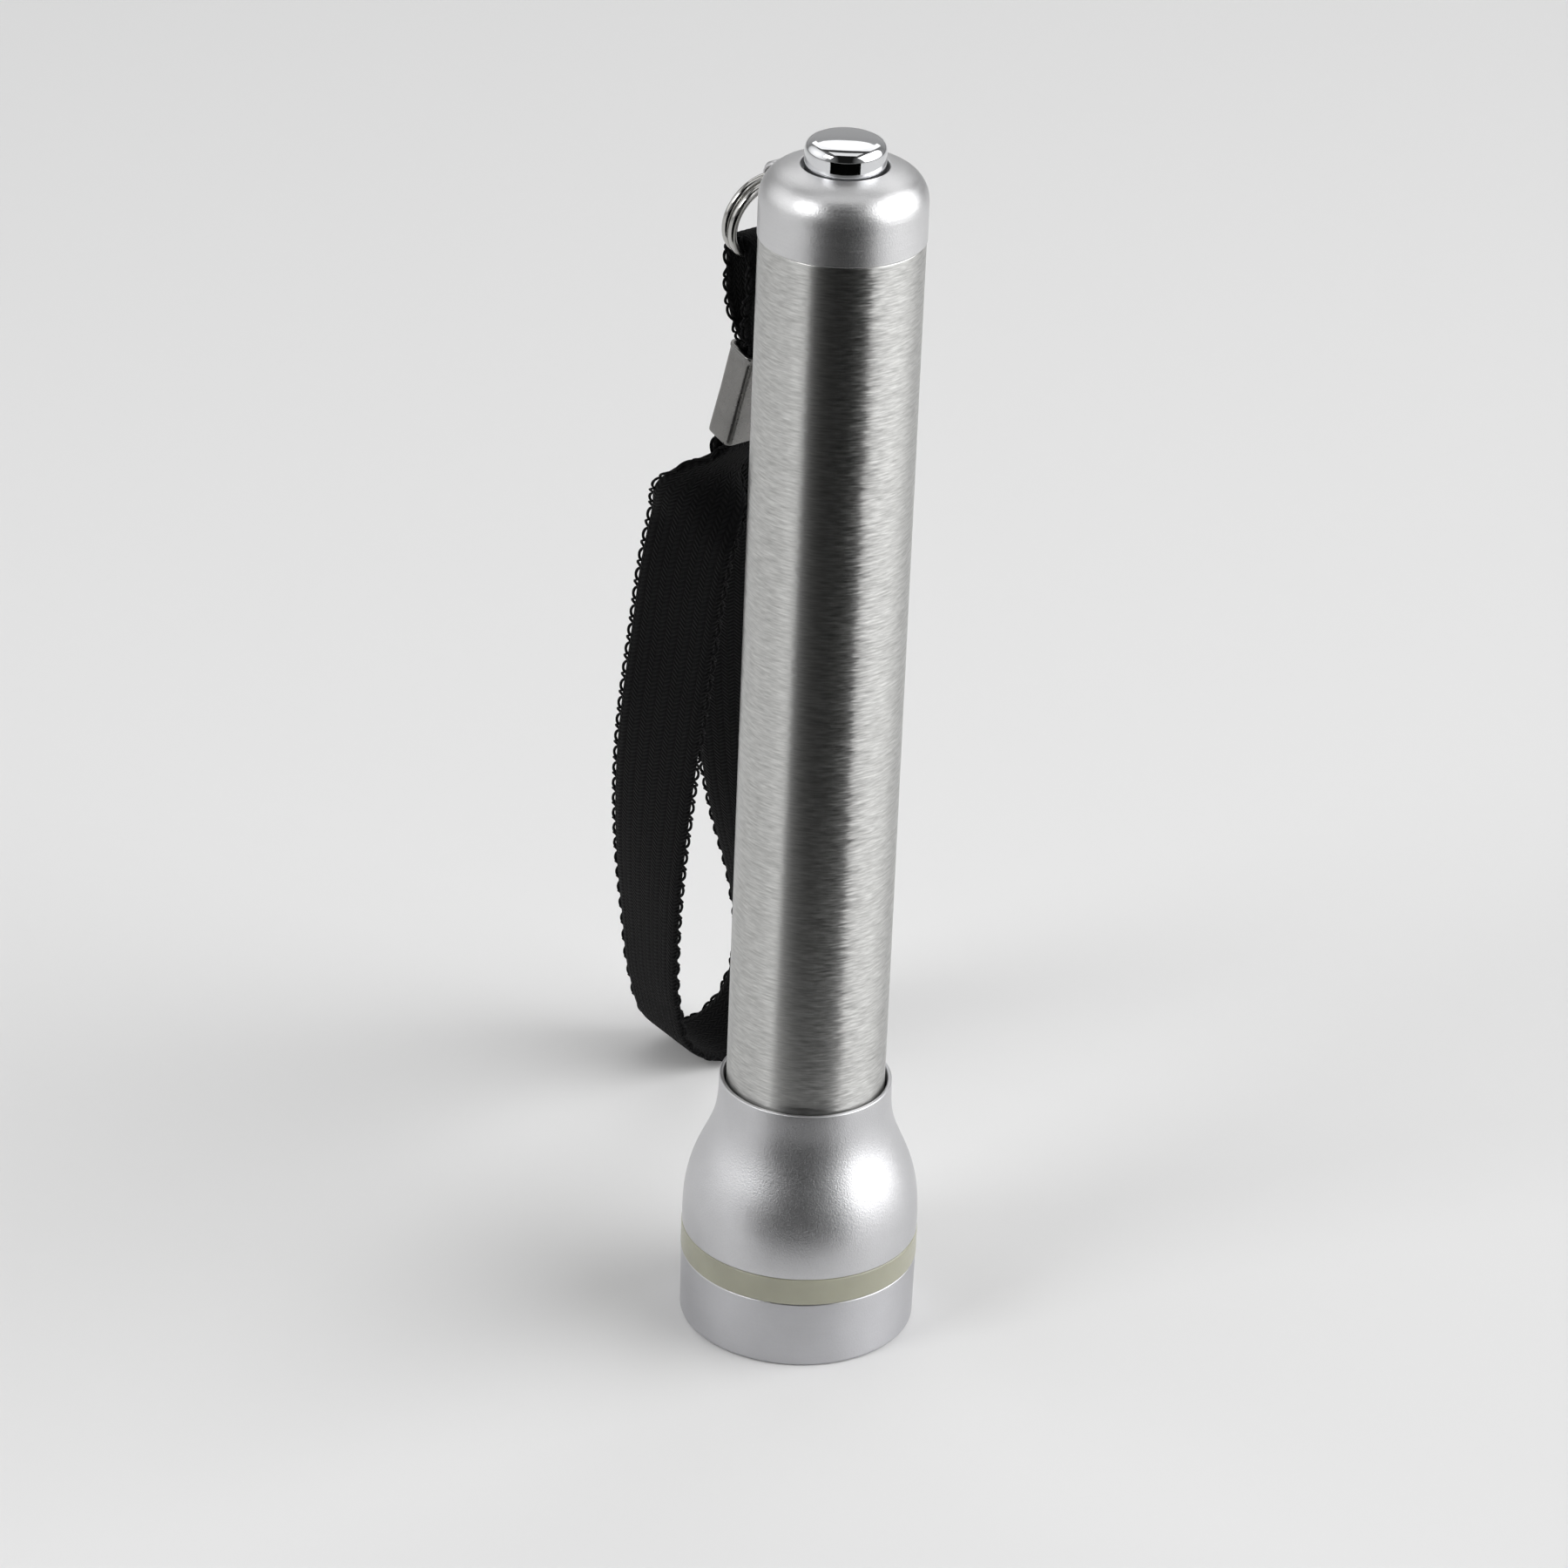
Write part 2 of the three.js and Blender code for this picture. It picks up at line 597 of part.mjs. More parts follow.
// Split ring of two turns, hanging in the lug's hole
const lugHole = radial.clone().multiplyScalar(lugHoleR).setZ(zLugHole);
const ringDown = RING_HANG.clone().addScaledVector(tangent, -RING_HANG.dot(tangent)).normalize();
const ringAxis = tangent.clone().cross(ringDown);
const ringCentre = lugHole.clone()
  .addScaledVector(ringDown, RING_R * Math.cos(RING_LEAN))
  .addScaledVector(tangent, -RING_R * Math.sin(RING_LEAN));
const ringPath = [];
const ringSteps = 46;
for (let i = 0; i <= ringSteps; i += 1) {
  const angle = RING_CROSSING + (4 * Math.PI - 2 * RING_CROSSING) * i / ringSteps;
  const crossed = THREE.MathUtils.smoothstep(angle, 2 * Math.PI - RING_CROSSING, 2 * Math.PI + RING_CROSSING);
  const across = tangent.clone().multiplyScalar(Math.cos(angle)).addScaledVector(ringDown, -Math.sin(angle));
  const at = ringCentre.clone().addScaledVector(across, RING_R)
    .addScaledVector(ringAxis, RING_PITCH * (crossed - 0.5));
  ringPath.push({ at, across, over: ringAxis });
}
console.log(`split_ring: least gap ${leastSelfGap(ringPath, RING_WIRE_R, 24).toFixed(2)} mm`);
add("split_ring", wire(ringPath, RING_WIRE_R, 6), 0xcfd1d3, 1, 0.12);

// Webbing along a curve: a flat section of a given width, with its width direction at each step
function webbing(points, widthAt, directionAt, steps) {
  const curve = new THREE.CatmullRomCurve3(points, false, "centripetal");
  curve.arcLengthDivisions = 800;
  const length = curve.getLength();
  const rings = [];
  for (let i = 0; i <= steps; i += 1) {
    const share = i / steps;
    const at = curve.getPointAt(share);
    const along = curve.getTangentAt(share);
    const side = directionAt(share * length, length);
    side.addScaledVector(along, -side.dot(along)).normalize();
    const face = along.clone().cross(side);
    const w = widthAt(share * length, length) / 2;
    const t = WEB_T / 2;
    const c = WEB_CHAMFER;
    const upper = [[w, t - c], [w - c, t], [c - w, t], [-w, t - c]];
    const section = [...upper, ...upper.map(([a, b]) => [a, -b]).reverse()];
    rings.push(section.map(([a, b]) => at.clone().addScaledVector(side, a).addScaledVector(face, b)));
  }
  return { geometry: lofted(rings), length };
}

// A straight run of the strap: points by their way down it and out from its middle, along the face
function strapRun(start, hang) {
  const side = tangent.clone().addScaledVector(hang, -tangent.dot(hang)).normalize();
  const face = hang.clone().cross(side);
  const at = (down, out) => start.clone().addScaledVector(hang, down).addScaledVector(face, out);
  return { side, face, at };
}

// Eye round the ring's lowest point, down into the clamp
const eyeSeat = ringCentre.clone().addScaledVector(ringDown, RING_R);
const eyeTopRun = strapRun(eyeSeat, ringDown);
const eyeRun = strapRun(eyeSeat, EYE_HANG);
const clampRun = strapRun(eyeRun.at(EYE_LENGTH, 0), CLAMP_HANG);
const layerHalf = (WEB_T + WEB_GAP) / 2;
const eyeHalf = RING_PITCH / 2 + RING_WIRE_R + WIRE_GAP + WEB_T / 2;
const ringRise = RING_R - Math.sqrt(RING_R ** 2 - (WEB_GATHERED / 2) ** 2);
const eyeTop = RING_WIRE_R + ringRise + WIRE_GAP + WEB_T / 2;
const eyeSidePoints = (sign) => [
  clampRun.at(CLAMP_GRIP, sign * layerHalf),
  clampRun.at(CLAMP_GRIP / 2, sign * layerHalf),
  clampRun.at(-CLAMP_LEAD, sign * layerHalf),
  eyeRun.at(EYE_LENGTH * 0.6, sign * (layerHalf + (eyeHalf - layerHalf) * 0.45)),
  eyeRun.at(EYE_LENGTH * 0.3, sign * eyeHalf),
  eyeTopRun.at(0, sign * eyeHalf),
  eyeTopRun.at(-eyeTop * 0.75, sign * eyeHalf * 0.72),
];
const eyeWidth = (run, length) => {
  const smooth = THREE.MathUtils.smoothstep;
  const clear = Math.min(run, length - run) - CLAMP_GRIP;
  const spread = smooth(clear, 0, EYE_SPREAD);
  const gathered = smooth(clear, EYE_LENGTH * 0.55, EYE_LENGTH * 0.95);
  return WEB_GATHERED + EYE_SWELL * (spread - gathered);
};
const eye = webbing([...eyeSidePoints(1), eyeTopRun.at(-eyeTop, 0), ...eyeSidePoints(-1).reverse()],
  eyeWidth, () => tangent.clone(), EYE_STEPS);
add("strap_eye", eye.geometry, 0x17181a, 0, 0.9);

const clampWidth = WEB_GATHERED + 2 * WIRE_GAP;
const clampDepth = 2 * WEB_T + WEB_GAP + 2 * SLIDE_GAP;
function roundedRectangle(path, width, depth, corner) {
  path.moveTo(-width / 2 + corner, -depth / 2);
  path.absarc(width / 2 - corner, -depth / 2 + corner, corner, -Math.PI / 2, 0, false);
  path.absarc(width / 2 - corner, depth / 2 - corner, corner, 0, Math.PI / 2, false);
  path.absarc(-width / 2 + corner, depth / 2 - corner, corner, Math.PI / 2, Math.PI, false);
  path.absarc(-width / 2 + corner, -depth / 2 + corner, corner, Math.PI, 1.5 * Math.PI, false);
  return path;
}
const clampShape = roundedRectangle(new THREE.Shape(), clampWidth + 2 * CLAMP_WALL, clampDepth + 2 * CLAMP_WALL,
  CLAMP_CORNER);
clampShape.holes.push(roundedRectangle(new THREE.Path(), clampWidth, clampDepth, CLAMP_CORNER - CLAMP_WALL));
const clamp = new THREE.ExtrudeGeometry(clampShape, {
  depth: CLAMP_LENGTH,
  curveSegments: 3,
  bevelEnabled: false,
});
clamp.applyMatrix4(new THREE.Matrix4().makeBasis(clampRun.side, clampRun.face, CLAMP_HANG));
clamp.translate(...clampRun.at(0, 0).toArray());
clamp.setIndex([...Array(clamp.getAttribute("position").count).keys()]);
add("strap_clamp", closed(clamp), 0x9b9da0, 0.9, 0.35);

// Hand loop, from the clamp down to the table and back
const clampAngle = Math.atan2(clampRun.side.y, clampRun.side.x);
const loopDirection = (run, length) => {
  const smooth = THREE.MathUtils.smoothstep;
  const held = CLAMP_GRIP + CLAMP_LEAD;
  const fromStart = smooth(run, held, held + TWIST_LENGTH);
  const intoTurn = smooth(run, length * 0.2, length * 0.43);
  const outOfTurn = smooth(run, length * 0.55, length * 0.78);
  const toEnd = smooth(run, length - held - TWIST_LENGTH, length - held);
  let angle = clampAngle + (FRONT_LEG_ANGLE - clampAngle) * fromStart;
  angle += (TURN_ANGLE - FRONT_LEG_ANGLE) * intoTurn;
  angle += (BACK_LEG_ANGLE - TURN_ANGLE) * outOfTurn;
  angle += (clampAngle - BACK_LEG_ANGLE) * toEnd;
  return new THREE.Vector3(Math.cos(angle), Math.sin(angle), 0);
};
const loopWidth = (run, length) => {
  const clear = Math.min(run, length - run) - CLAMP_GRIP - CLAMP_LEAD;
  return WEB_GATHERED + (WEB_WIDTH - WEB_GATHERED) * THREE.MathUtils.smoothstep(clear, 0, SPREAD_LENGTH);
};
const loopEnd = (sign) => [
  clampRun.at(CLAMP_LENGTH - CLAMP_GRIP, sign * layerHalf),
  clampRun.at(CLAMP_LENGTH - CLAMP_GRIP / 2, sign * layerHalf),
  clampRun.at(CLAMP_LENGTH + CLAMP_LEAD, sign * layerHalf),
];
const loopMiddle = LOOP_ROUTE.map((point) => new THREE.Vector3(...point));
const loopPoints = [...loopEnd(1), ...loopMiddle, ...loopEnd(-1).reverse()];
const loop = webbing(loopPoints, loopWidth, loopDirection, LOOP_STEPS);
add("strap_loop", loop.geometry, 0x17181a, 0, 0.9);
console.log(`webbing: eye ${eye.length.toFixed(1)} mm, loop ${loop.length.toFixed(1)} mm`);

export default part;
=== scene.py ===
# Pocket flashlight with a wrist strap: its looks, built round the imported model.
# Everything is in metres, in the model's own frame. It stands on its bezel, and +Z runs up to the button.
import json
import math

import bmesh
import bpy
import numpy as np
from mathutils import Matrix, Vector


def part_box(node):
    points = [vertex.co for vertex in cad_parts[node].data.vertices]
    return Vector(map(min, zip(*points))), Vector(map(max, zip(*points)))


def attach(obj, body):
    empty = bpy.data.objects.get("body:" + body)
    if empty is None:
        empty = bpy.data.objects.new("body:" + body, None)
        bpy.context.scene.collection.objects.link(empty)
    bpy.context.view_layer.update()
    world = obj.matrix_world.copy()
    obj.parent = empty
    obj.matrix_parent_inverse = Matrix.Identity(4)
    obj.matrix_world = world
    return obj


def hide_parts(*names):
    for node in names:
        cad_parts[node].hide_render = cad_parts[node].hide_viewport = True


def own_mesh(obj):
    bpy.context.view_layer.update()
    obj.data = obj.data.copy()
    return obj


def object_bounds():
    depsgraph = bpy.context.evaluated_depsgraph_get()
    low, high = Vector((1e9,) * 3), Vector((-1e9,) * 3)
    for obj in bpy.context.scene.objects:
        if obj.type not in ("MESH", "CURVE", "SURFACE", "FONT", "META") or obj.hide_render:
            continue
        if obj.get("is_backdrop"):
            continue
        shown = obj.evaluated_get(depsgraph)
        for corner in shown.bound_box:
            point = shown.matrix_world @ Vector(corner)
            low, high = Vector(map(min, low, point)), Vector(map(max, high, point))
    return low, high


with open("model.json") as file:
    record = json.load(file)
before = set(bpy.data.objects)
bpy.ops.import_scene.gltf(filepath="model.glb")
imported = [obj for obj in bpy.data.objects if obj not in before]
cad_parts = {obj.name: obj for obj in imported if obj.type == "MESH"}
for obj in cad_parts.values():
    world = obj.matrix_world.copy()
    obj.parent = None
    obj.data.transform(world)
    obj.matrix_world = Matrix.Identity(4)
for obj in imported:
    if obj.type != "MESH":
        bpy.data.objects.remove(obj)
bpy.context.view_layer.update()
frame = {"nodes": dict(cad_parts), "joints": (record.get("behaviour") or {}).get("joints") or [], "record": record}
joints = {joint["name"]: joint for joint in frame["joints"]}
bodies = frame["record"]["behaviour"]["bodies"]
body_of_node = {node: body for body, nodes in bodies.items() for node in nodes}
slot_of_node = {row["node"]: row["material_slot"] for row in frame["record"]["subparts"]}

# Camera, from the photograph's viewing angle
IMAGE_PX = 1800
FOCAL_PX = 7418.8
SENSOR_MM = 36.0
CAMERA_AT = Vector((0.0, -0.63675, 0.39410))
CAMERA_TURN = math.radians(-0.3417)
CAMERA_DIP = math.radians(27.163)
CAMERA_ROLL = math.radians(2.347)
CAMERA_NEAR = 0.01
CAMERA_FAR = 20

# Fineness of the turned pieces
OUTER_SIDES = 160
INNER_SIDES = 96
CUT_SLOPE = 1e-4
WELD = 1e-7
SAME_POINT = 1e-6
NEAR_POINT = 2e-6
STRAIGHT = 4e-7
SHARP_TURN = math.radians(35)
NO_BEND = math.radians(1)
ARC_STEP = math.radians(7)
LONG_TO_SHORT = 2.5
EDGE = 0.00009
EDGE_STEPS = 4
EDGE_SHARE = 0.45
INSET_EDGES = 1.5
INSET_SHARE = 0.25
WIRE_END = (0.55, 0.85, 1.0)
LIP_EDGE = 0.00042
GLOW_EDGE = 0.00016
SEAM_EDGE = 0.00018

# Lug and split ring behind the cap
LUG_ANGLE = math.radians(130)
LUG_HOLE_R = 0.00135
LUG_RIM = 0.00065
LUG_T = 0.0018
LUG_ROOT = 0.0035
LUG_BEVEL = 0.00028
LUG_STEPS = 40
RING_R = 0.0046
RING_WIRE_R = 0.0005
RING_PITCH = 0.00115
RING_CROSSING = math.radians(20)
RING_STEPS = 220
RING_SIDES = 16

# Seals and springs
SEAL_SIDES = 20
COIL_STEPS = 48
COIL_SIDES = 12
TAIL_SPRING = {"turns": 4.5, "wire_r": 0.0004, "low_r": 0.0034, "high_r": 0.0047}
BUTTON_SPRING = {"turns": 4.0, "wire_r": 0.0003, "low_r": 0.0042, "high_r": 0.0042}

# Threads, and the shares of a pitch that a ridge's foot, flanks and crest take
THREAD_PITCH = 0.0012
THREAD_DEPTH = 0.00024
THREAD_STEPS = 72
THREAD_FADE = 0.4
THREAD_END_SINK = 0.00004
THREAD_ROOT_SINK = 0.00006
THREAD_HALF = 0.45
THREAD_FLANK = 0.62
THREAD_CREST = 0.22
FRONT_THREAD_R = 0.00865
FRONT_THREAD_LENGTH = 0.0072
SKIRT_R = 0.0073
SKIRT_THREAD_LENGTH = 0.0058

# Phosphor in the lamp
PHOSPHOR_R = 0.0012
PHOSPHOR_T = 0.0006
PHOSPHOR_RISE = 0.45
PHOSPHOR_SIDES = 32

# Wrist strap: the same route as the model's
RING_HANG = Vector((-0.09, 0.2, -0.98)).normalized()
EYE_HANG = Vector((0.08, 0.2, -0.98)).normalized()
CLAMP_HANG = Vector((-0.19, 0.2, -0.97)).normalized()
WEB_T = 0.0011
WEB_WIDTH = 0.0104
WEB_GATHERED = 0.0050
WEB_GAP = 0.00035
WIRE_GAP = 0.00025
EYE_LENGTH = 0.0122
EYE_GRIP = 0.0040
EYE_SWELL = 0.0012
EYE_SPREAD = 0.0030
EYE_GATHER = (0.55, 0.95)
EYE_NARROW_AT = 0.6
EYE_NARROW_TO = 0.45
EYE_FULL_AT = 0.3
EYE_CROWN_UP = 0.75
EYE_CROWN_IN = 0.72
CLAMP_LENGTH = 0.0120
CLAMP_GRIP = 0.0046
CLAMP_LEAD = 0.0012
CLAMP_WALL = 0.00045
CLAMP_ROOM = 0.0002
CLAMP_CORNER = 0.0008
CLAMP_LIP = 0.00013
CLAMP_WAIST = 0.00005
CLAMP_END = 0.0001
SPREAD_LENGTH = 0.0090
TWIST_LENGTH = 0.0150
FRONT_LEG_ANGLE = math.radians(-28)
TURN_ANGLE = math.radians(-54)
BACK_LEG_ANGLE = math.radians(-12)
FRONT_TURN = (0.2, 0.43)
BACK_TURN = (0.55, 0.78)
LOOP_ROUTE = [
    (-0.0137, 0.0146, 0.0975), (-0.0151, 0.0164, 0.0913), (-0.0163, 0.0193, 0.0832),
    (-0.0172, 0.0233, 0.0737), (-0.0183, 0.0283, 0.0617), (-0.0192, 0.0343, 0.0490),
    (-0.0197, 0.0410, 0.0357), (-0.0196, 0.0476, 0.0229), (-0.0189, 0.0526, 0.0116),
    (-0.0170, 0.0556, 0.0042), (-0.0130, 0.0586, 0.0012), (-0.0086, 0.0616, 0.0032),
    (-0.0064, 0.0624, 0.0096), (-0.0068, 0.0598, 0.0199), (-0.0084, 0.0540, 0.0334),
    (-0.0096, 0.0467, 0.0489), (-0.0103, 0.0383, 0.0645), (-0.0105, 0.0299, 0.0785),
    (-0.0106, 0.0231, 0.0893), (-0.0108, 0.0191, 0.0960),
]
WEB_ACROSS = 40
WEB_STEP = 0.00055
RIB_WIDTH = 0.00078
RIB_DEPTH = 0.000045
RIB_LIMIT = 0.97
SECTION_POWER = 14
PICOT_PITCH = 0.0016
PICOT_REACH = 0.00046
PICOT_THREAD = 0.00018
PICOT_STEPS = 10
PICOT_SIDES = 6
PICOT_SINK = 0.4
PICOT_FULLNESS = 0.7
PICOT_SWAY = 0.22

# Grain of the materials
BRUSH_WAVER = 0.26
GLOSS_ALONG_AXIS = 0.25
STITCH_PITCH = 0.00072
STITCH_SLANT = 1.1
STITCH_DEPTH = 0.00009
STITCH_FUZZ = 0.25
SLEEVE_BAND = 0.24
SLEEVE_DARK = (40, 46, 54)
SLEEVE_COPPER = (176, 112, 66)

UP = Vector((0, 0, 1))


# Camera
def add_camera():
    dip, turn = CAMERA_DIP, CAMERA_TURN
    forward = Vector((math.sin(turn) * math.cos(dip), math.cos(turn) * math.cos(dip), -math.sin(dip)))
    right = forward.cross(UP).normalized()
    above = right.cross(forward)
    rolled_right = right * math.cos(CAMERA_ROLL) + above * math.sin(CAMERA_ROLL)
    rolled_above = above * math.cos(CAMERA_ROLL) - right * math.sin(CAMERA_ROLL)
    camera = bpy.data.objects.new("camera", bpy.data.cameras.new("camera"))
    camera.data.sensor_width = SENSOR_MM
    camera.data.lens = FOCAL_PX / IMAGE_PX * SENSOR_MM
    camera.data.clip_start = CAMERA_NEAR
    camera.data.clip_end = CAMERA_FAR
    axes = Matrix((rolled_right, rolled_above, -forward)).transposed()
    camera.matrix_world = Matrix.Translation(CAMERA_AT) @ axes.to_4x4()
    bpy.context.scene.collection.objects.link(camera)
    bpy.context.scene.camera = camera


# Meshes
def add_piece(name, vertices, faces, material, body, replaced=()):
    mesh = bpy.data.meshes.new(name)
    mesh.from_pydata([tuple(v) for v in vertices], [], faces)
    work = bmesh.new()
    work.from_mesh(mesh)
    bmesh.ops.remove_doubles(work, verts=work.verts, dist=WELD)
    bmesh.ops.recalc_face_normals(work, faces=work.faces)
    work.to_mesh(mesh)
    work.free()
    mesh.polygons.foreach_set("use_smooth", [True] * len(mesh.polygons))
    mesh.materials.append(material)
    piece = bpy.data.objects.new(name, mesh)
    bpy.context.scene.collection.objects.link(piece)
    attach(piece, body)
    if replaced:
        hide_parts(*replaced)
    return piece


def outline_of(node):
    """A turned node's outline in a half-plane just off +X: (radius, height) points, and if it is closed."""
    mesh = frame["nodes"][node].data
    mesh.calc_loop_triangles()
    raw = np.array([v.co for v in mesh.vertices], float)
    _, first, same = np.unique(np.round(raw, 7), axis=0, return_index=True, return_inverse=True)
    points = raw[first]
    same = same.reshape(-1)
    off_plane = points[:, 1] - CUT_SLOPE * points[:, 0]
    at, beside = {}, {}
    for triangle in mesh.loop_triangles:
        corners = [int(same[v]) for v in triangle.vertices]
        crossed = []
        for a, b in zip(corners, corners[1:] + corners[:1]):
            if (off_plane[a] >= 0) != (off_plane[b] >= 0):
                share = off_plane[a] / (off_plane[a] - off_plane[b])
                key = (min(a, b), max(a, b))
                at[key] = points[a] + (points[b] - points[a]) * share
                crossed.append(key)
        if len(crossed) == 2 and min(at[k][0] for k in crossed) > -SAME_POINT:
            for a, b in (crossed, crossed[::-1]):
                beside.setdefault(a, []).append(b)
    ends = [key for key in beside if len(beside[key]) == 1]
    key = ends[0] if ends else next(iter(beside))
    chain, seen = [], set()
    while key is not None:
        seen.add(key)
        chain.append(np.array([max(at[key][0], 0.0), at[key][2]]))
        key = next((k for k in beside[key] if k not in seen), None)
    return simplified(chain, not ends), not ends


def simplified(chain, closed):
    """The chain without points that repeat or lie on a straight line."""
    kept = [chain[0]]
    for point in chain[1:]:
        if np.linalg.norm(point - kept[-1]) > SAME_POINT:
            kept.append(point)
    if closed and np.linalg.norm(kept[0] - kept[-1]) <= SAME_POINT:
        kept.pop()
    changed = True
    while changed:
        changed = False
        for i in range(0 if closed else 1, len(kept) if closed else len(kept) - 1):
            before, point, after = kept[i - 1], kept[i], kept[(i + 1) % len(kept)]
            along = after - before
            side = point - before
            area = abs(along[0] * side[1] - along[1] * side[0])
            if area <= STRAIGHT * np.linalg.norm(along):
                kept.pop(i)
                changed = True
                break
    return kept


def turn_at(points, i, closed):
    """(direction before a point, direction after it, angle between them)."""
    n = len(points)
    if not closed and i in (0, n - 1):
        k = 0 if i == 0 else n - 2
        d = points[k + 1] - points[k]
        d = d / np.linalg.norm(d)
        return d, d, 0.0
    before = points[i] - points[i - 1]
    after = points[(i + 1) % n] - points[i]
    before, after = before / np.linalg.norm(before), after / np.linalg.norm(after)
    cross = before[0] * after[1] - before[1] * after[0]
    return before, after, math.atan2(cross, float(before @ after))


def refined(points, closed, edge=EDGE):
    """A fine outline: curves through the soft corners, and a small rounded edge on the sharp ones."""
    n = len(points)
    turns = [turn_at(points, i, closed) for i in range(n)]
    lengths = [np.linalg.norm(points[(i + 1) % n] - points[i]) for i in range(n)]
    soft = [None] * n
    for i, (before, after, angle) in enumerate(turns):
        if abs(angle) > SHARP_TURN:
            continue
        short, long = sorted((lengths[i - 1], lengths[i]))
        if not closed and i in (0, n - 1):
            soft[i] = before
        elif long > LONG_TO_SHORT * short:
            soft[i] = before if lengths[i - 1] > lengths[i] else after
        else:
            middle = before + after
            soft[i] = middle / np.linalg.norm(middle)
    fine = []
    for i in range(n if closed else n - 1):
        k = (i + 1) % n
        start, end, length = points[i], points[k], lengths[i]
        straight = (end - start) / length
        cut = min(edge, length * EDGE_SHARE)
        first = start if soft[i] is not None else start + straight * cut
        last = end if soft[k] is not None else end - straight * cut
        leave = soft[i] if soft[i] is not None else straight
        arrive = soft[k] if soft[k] is not None else straight
        bend = math.acos(min(1.0, float(leave @ straight)))
        bend += math.acos(min(1.0, float(arrive @ straight)))
        span = np.linalg.norm(last - first)
        if bend < NO_BEND:
            inset = min(edge * INSET_EDGES, span * INSET_SHARE)
            fine += [first, first + straight * inset, last - straight * inset, last]
        else:
            steps = max(2, math.ceil(bend / ARC_STEP))
            for s in range(steps + 1):
                t = s / steps
                h1, h2 = 3 * t * (1 - t) ** 2, 3 * t * t * (1 - t)
                handle_a, handle_b = first + leave * span / 3, last - arrive * span / 3
                fine.append(first * (1 - t) ** 3 + handle_a * h1 + handle_b * h2 + last * t ** 3)
        if soft[k] is None and (closed or k < n - 1):
            far = points[(k + 1) % n] - end
            out = end + far / np.linalg.norm(far) * min(edge, np.linalg.norm(far) * EDGE_SHARE)
            for s in range(1, EDGE_STEPS):
                t = s / EDGE_STEPS
                fine.append(last * (1 - t) ** 2 + end * 2 * t * (1 - t) + out * t * t)
    kept = [fine[0]]
    for point in fine[1:]:
        if np.linalg.norm(point - kept[-1]) > NEAR_POINT:
            kept.append(point)
    return kept


def turned_mesh(outline, closed, sides):
    """Vertices and faces of an outline turned about Z."""
    angles = np.linspace(0, 2 * math.pi, sides, endpoint=False)
    circle = np.stack([np.cos(angles), np.sin(angles)], axis=1)
    vertices, rings = [], []
    for r, z in outline:
        if r < NEAR_POINT:
            rings.append([len(vertices)] * sides)
            vertices.append((0.0, 0.0, z))
        else:
            rings.append(list(range(len(vertices), len(vertices) + sides)))
            vertices += [(r * c, r * s, z) for c, s in circle]
    faces = []
    pairs = zip(rings, rings[1:] + rings[:1]) if closed else zip(rings, rings[1:])
    for low, high in pairs:
        for k in range(sides):
            m = (k + 1) % sides
            corners = []
            for v in (low[k], low[m], high[m], high[k]):
                if v not in corners:
                    corners.append(v)
            if len(corners) > 2:
                faces.append(corners)
    return vertices, faces


def turned_piece(node, material, sides=OUTER_SIDES, edge=EDGE):
    """A fine turned piece in place of a turned node."""
    outline, closed = outline_of(node)
    vertices, faces = turned_mesh(refined(outline, closed, edge), closed, sides)
    body, slot = body_of_node[node], slot_of_node[node]
    return add_piece(f"{node}_fine", vertices, faces, material, body, [node])


def loft(rings, closed=False):
    """Vertices and faces through rings of points, with flat ends unless it runs round."""
    count = len(rings[0])
    vertices = [tuple(p) for ring in rings for p in ring]
    faces = []
    for i in range(len(rings) if closed else len(rings) - 1):
        low, high = i * count, (i + 1) % len(rings) * count
        for k in range(count):
            m = (k + 1) % count
            faces.append((low + k, low + m, high + m, high + k))
    if not closed:
        faces.append(tuple(range(count))[::-1])
        faces.append(tuple(range(len(vertices) - count, len(vertices))))
    return vertices, faces


def wire(path, radius, sides):
    """A round wire along points, each (place, across, over), with rounded ends."""
    angles = np.linspace(0, 2 * math.pi, sides, endpoint=False)
    rings = []
    for i, (at, across, over) in enumerate(path):
        near_end = min(i, len(path) - 1 - i)
        r = radius * WIRE_END[min(near_end, len(WIRE_END) - 1)]
        rings.append([at + across * (r * math.cos(a)) + over * (r * math.sin(a)) for a in angles])
    return loft(rings)


def smoothstep(value, low, high):
    t = min(max((value - low) / (high - low), 0.0), 1.0)
    return t * t * (3 - 2 * t)


def curve_points(knots, samples=60):
    """A fine centripetal curve through the knots."""
    knots = [np.array(k, float) for k in knots]
    ends = [2 * knots[0] - knots[1], *knots, 2 * knots[-1] - knots[-2]]
    fine = []
    for i in range(len(knots) - 1):
        p0, p1, p2, p3 = ends[i:i + 4]
        steps = ((p0, p1), (p1, p2), (p2, p3))
        d0, d1, d2 = (max(np.linalg.norm(b - a) ** 0.5, 1e-9) for a, b in steps)
        t1 = ((p1 - p0) / d0 - (p2 - p0) / (d0 + d1) + (p2 - p1) / d1) * d1
        t2 = ((p2 - p1) / d1 - (p3 - p1) / (d1 + d2) + (p3 - p2) / d2) * d1
        for s in range(samples):
            t = s / samples
            c2, c3 = -3 * p1 + 3 * p2 - 2 * t1 - t2, 2 * p1 - 2 * p2 + t1 + t2
            fine.append(p1 + t1 * t + c2 * t * t + c3 * t ** 3)
    fine.append(knots[-1])
    return np.array(fine)


def evenly(points, step):
    """(points about step apart along a line, their distance along it)."""
    along = np.concatenate([[0], np.cumsum(np.linalg.norm(np.diff(points, axis=0), axis=1))])
    run = np.linspace(0, along[-1], max(8, round(along[-1] / step)) + 1)
    return np.stack([np.interp(run, along, points[:, k]) for k in range(3)], axis=1), run


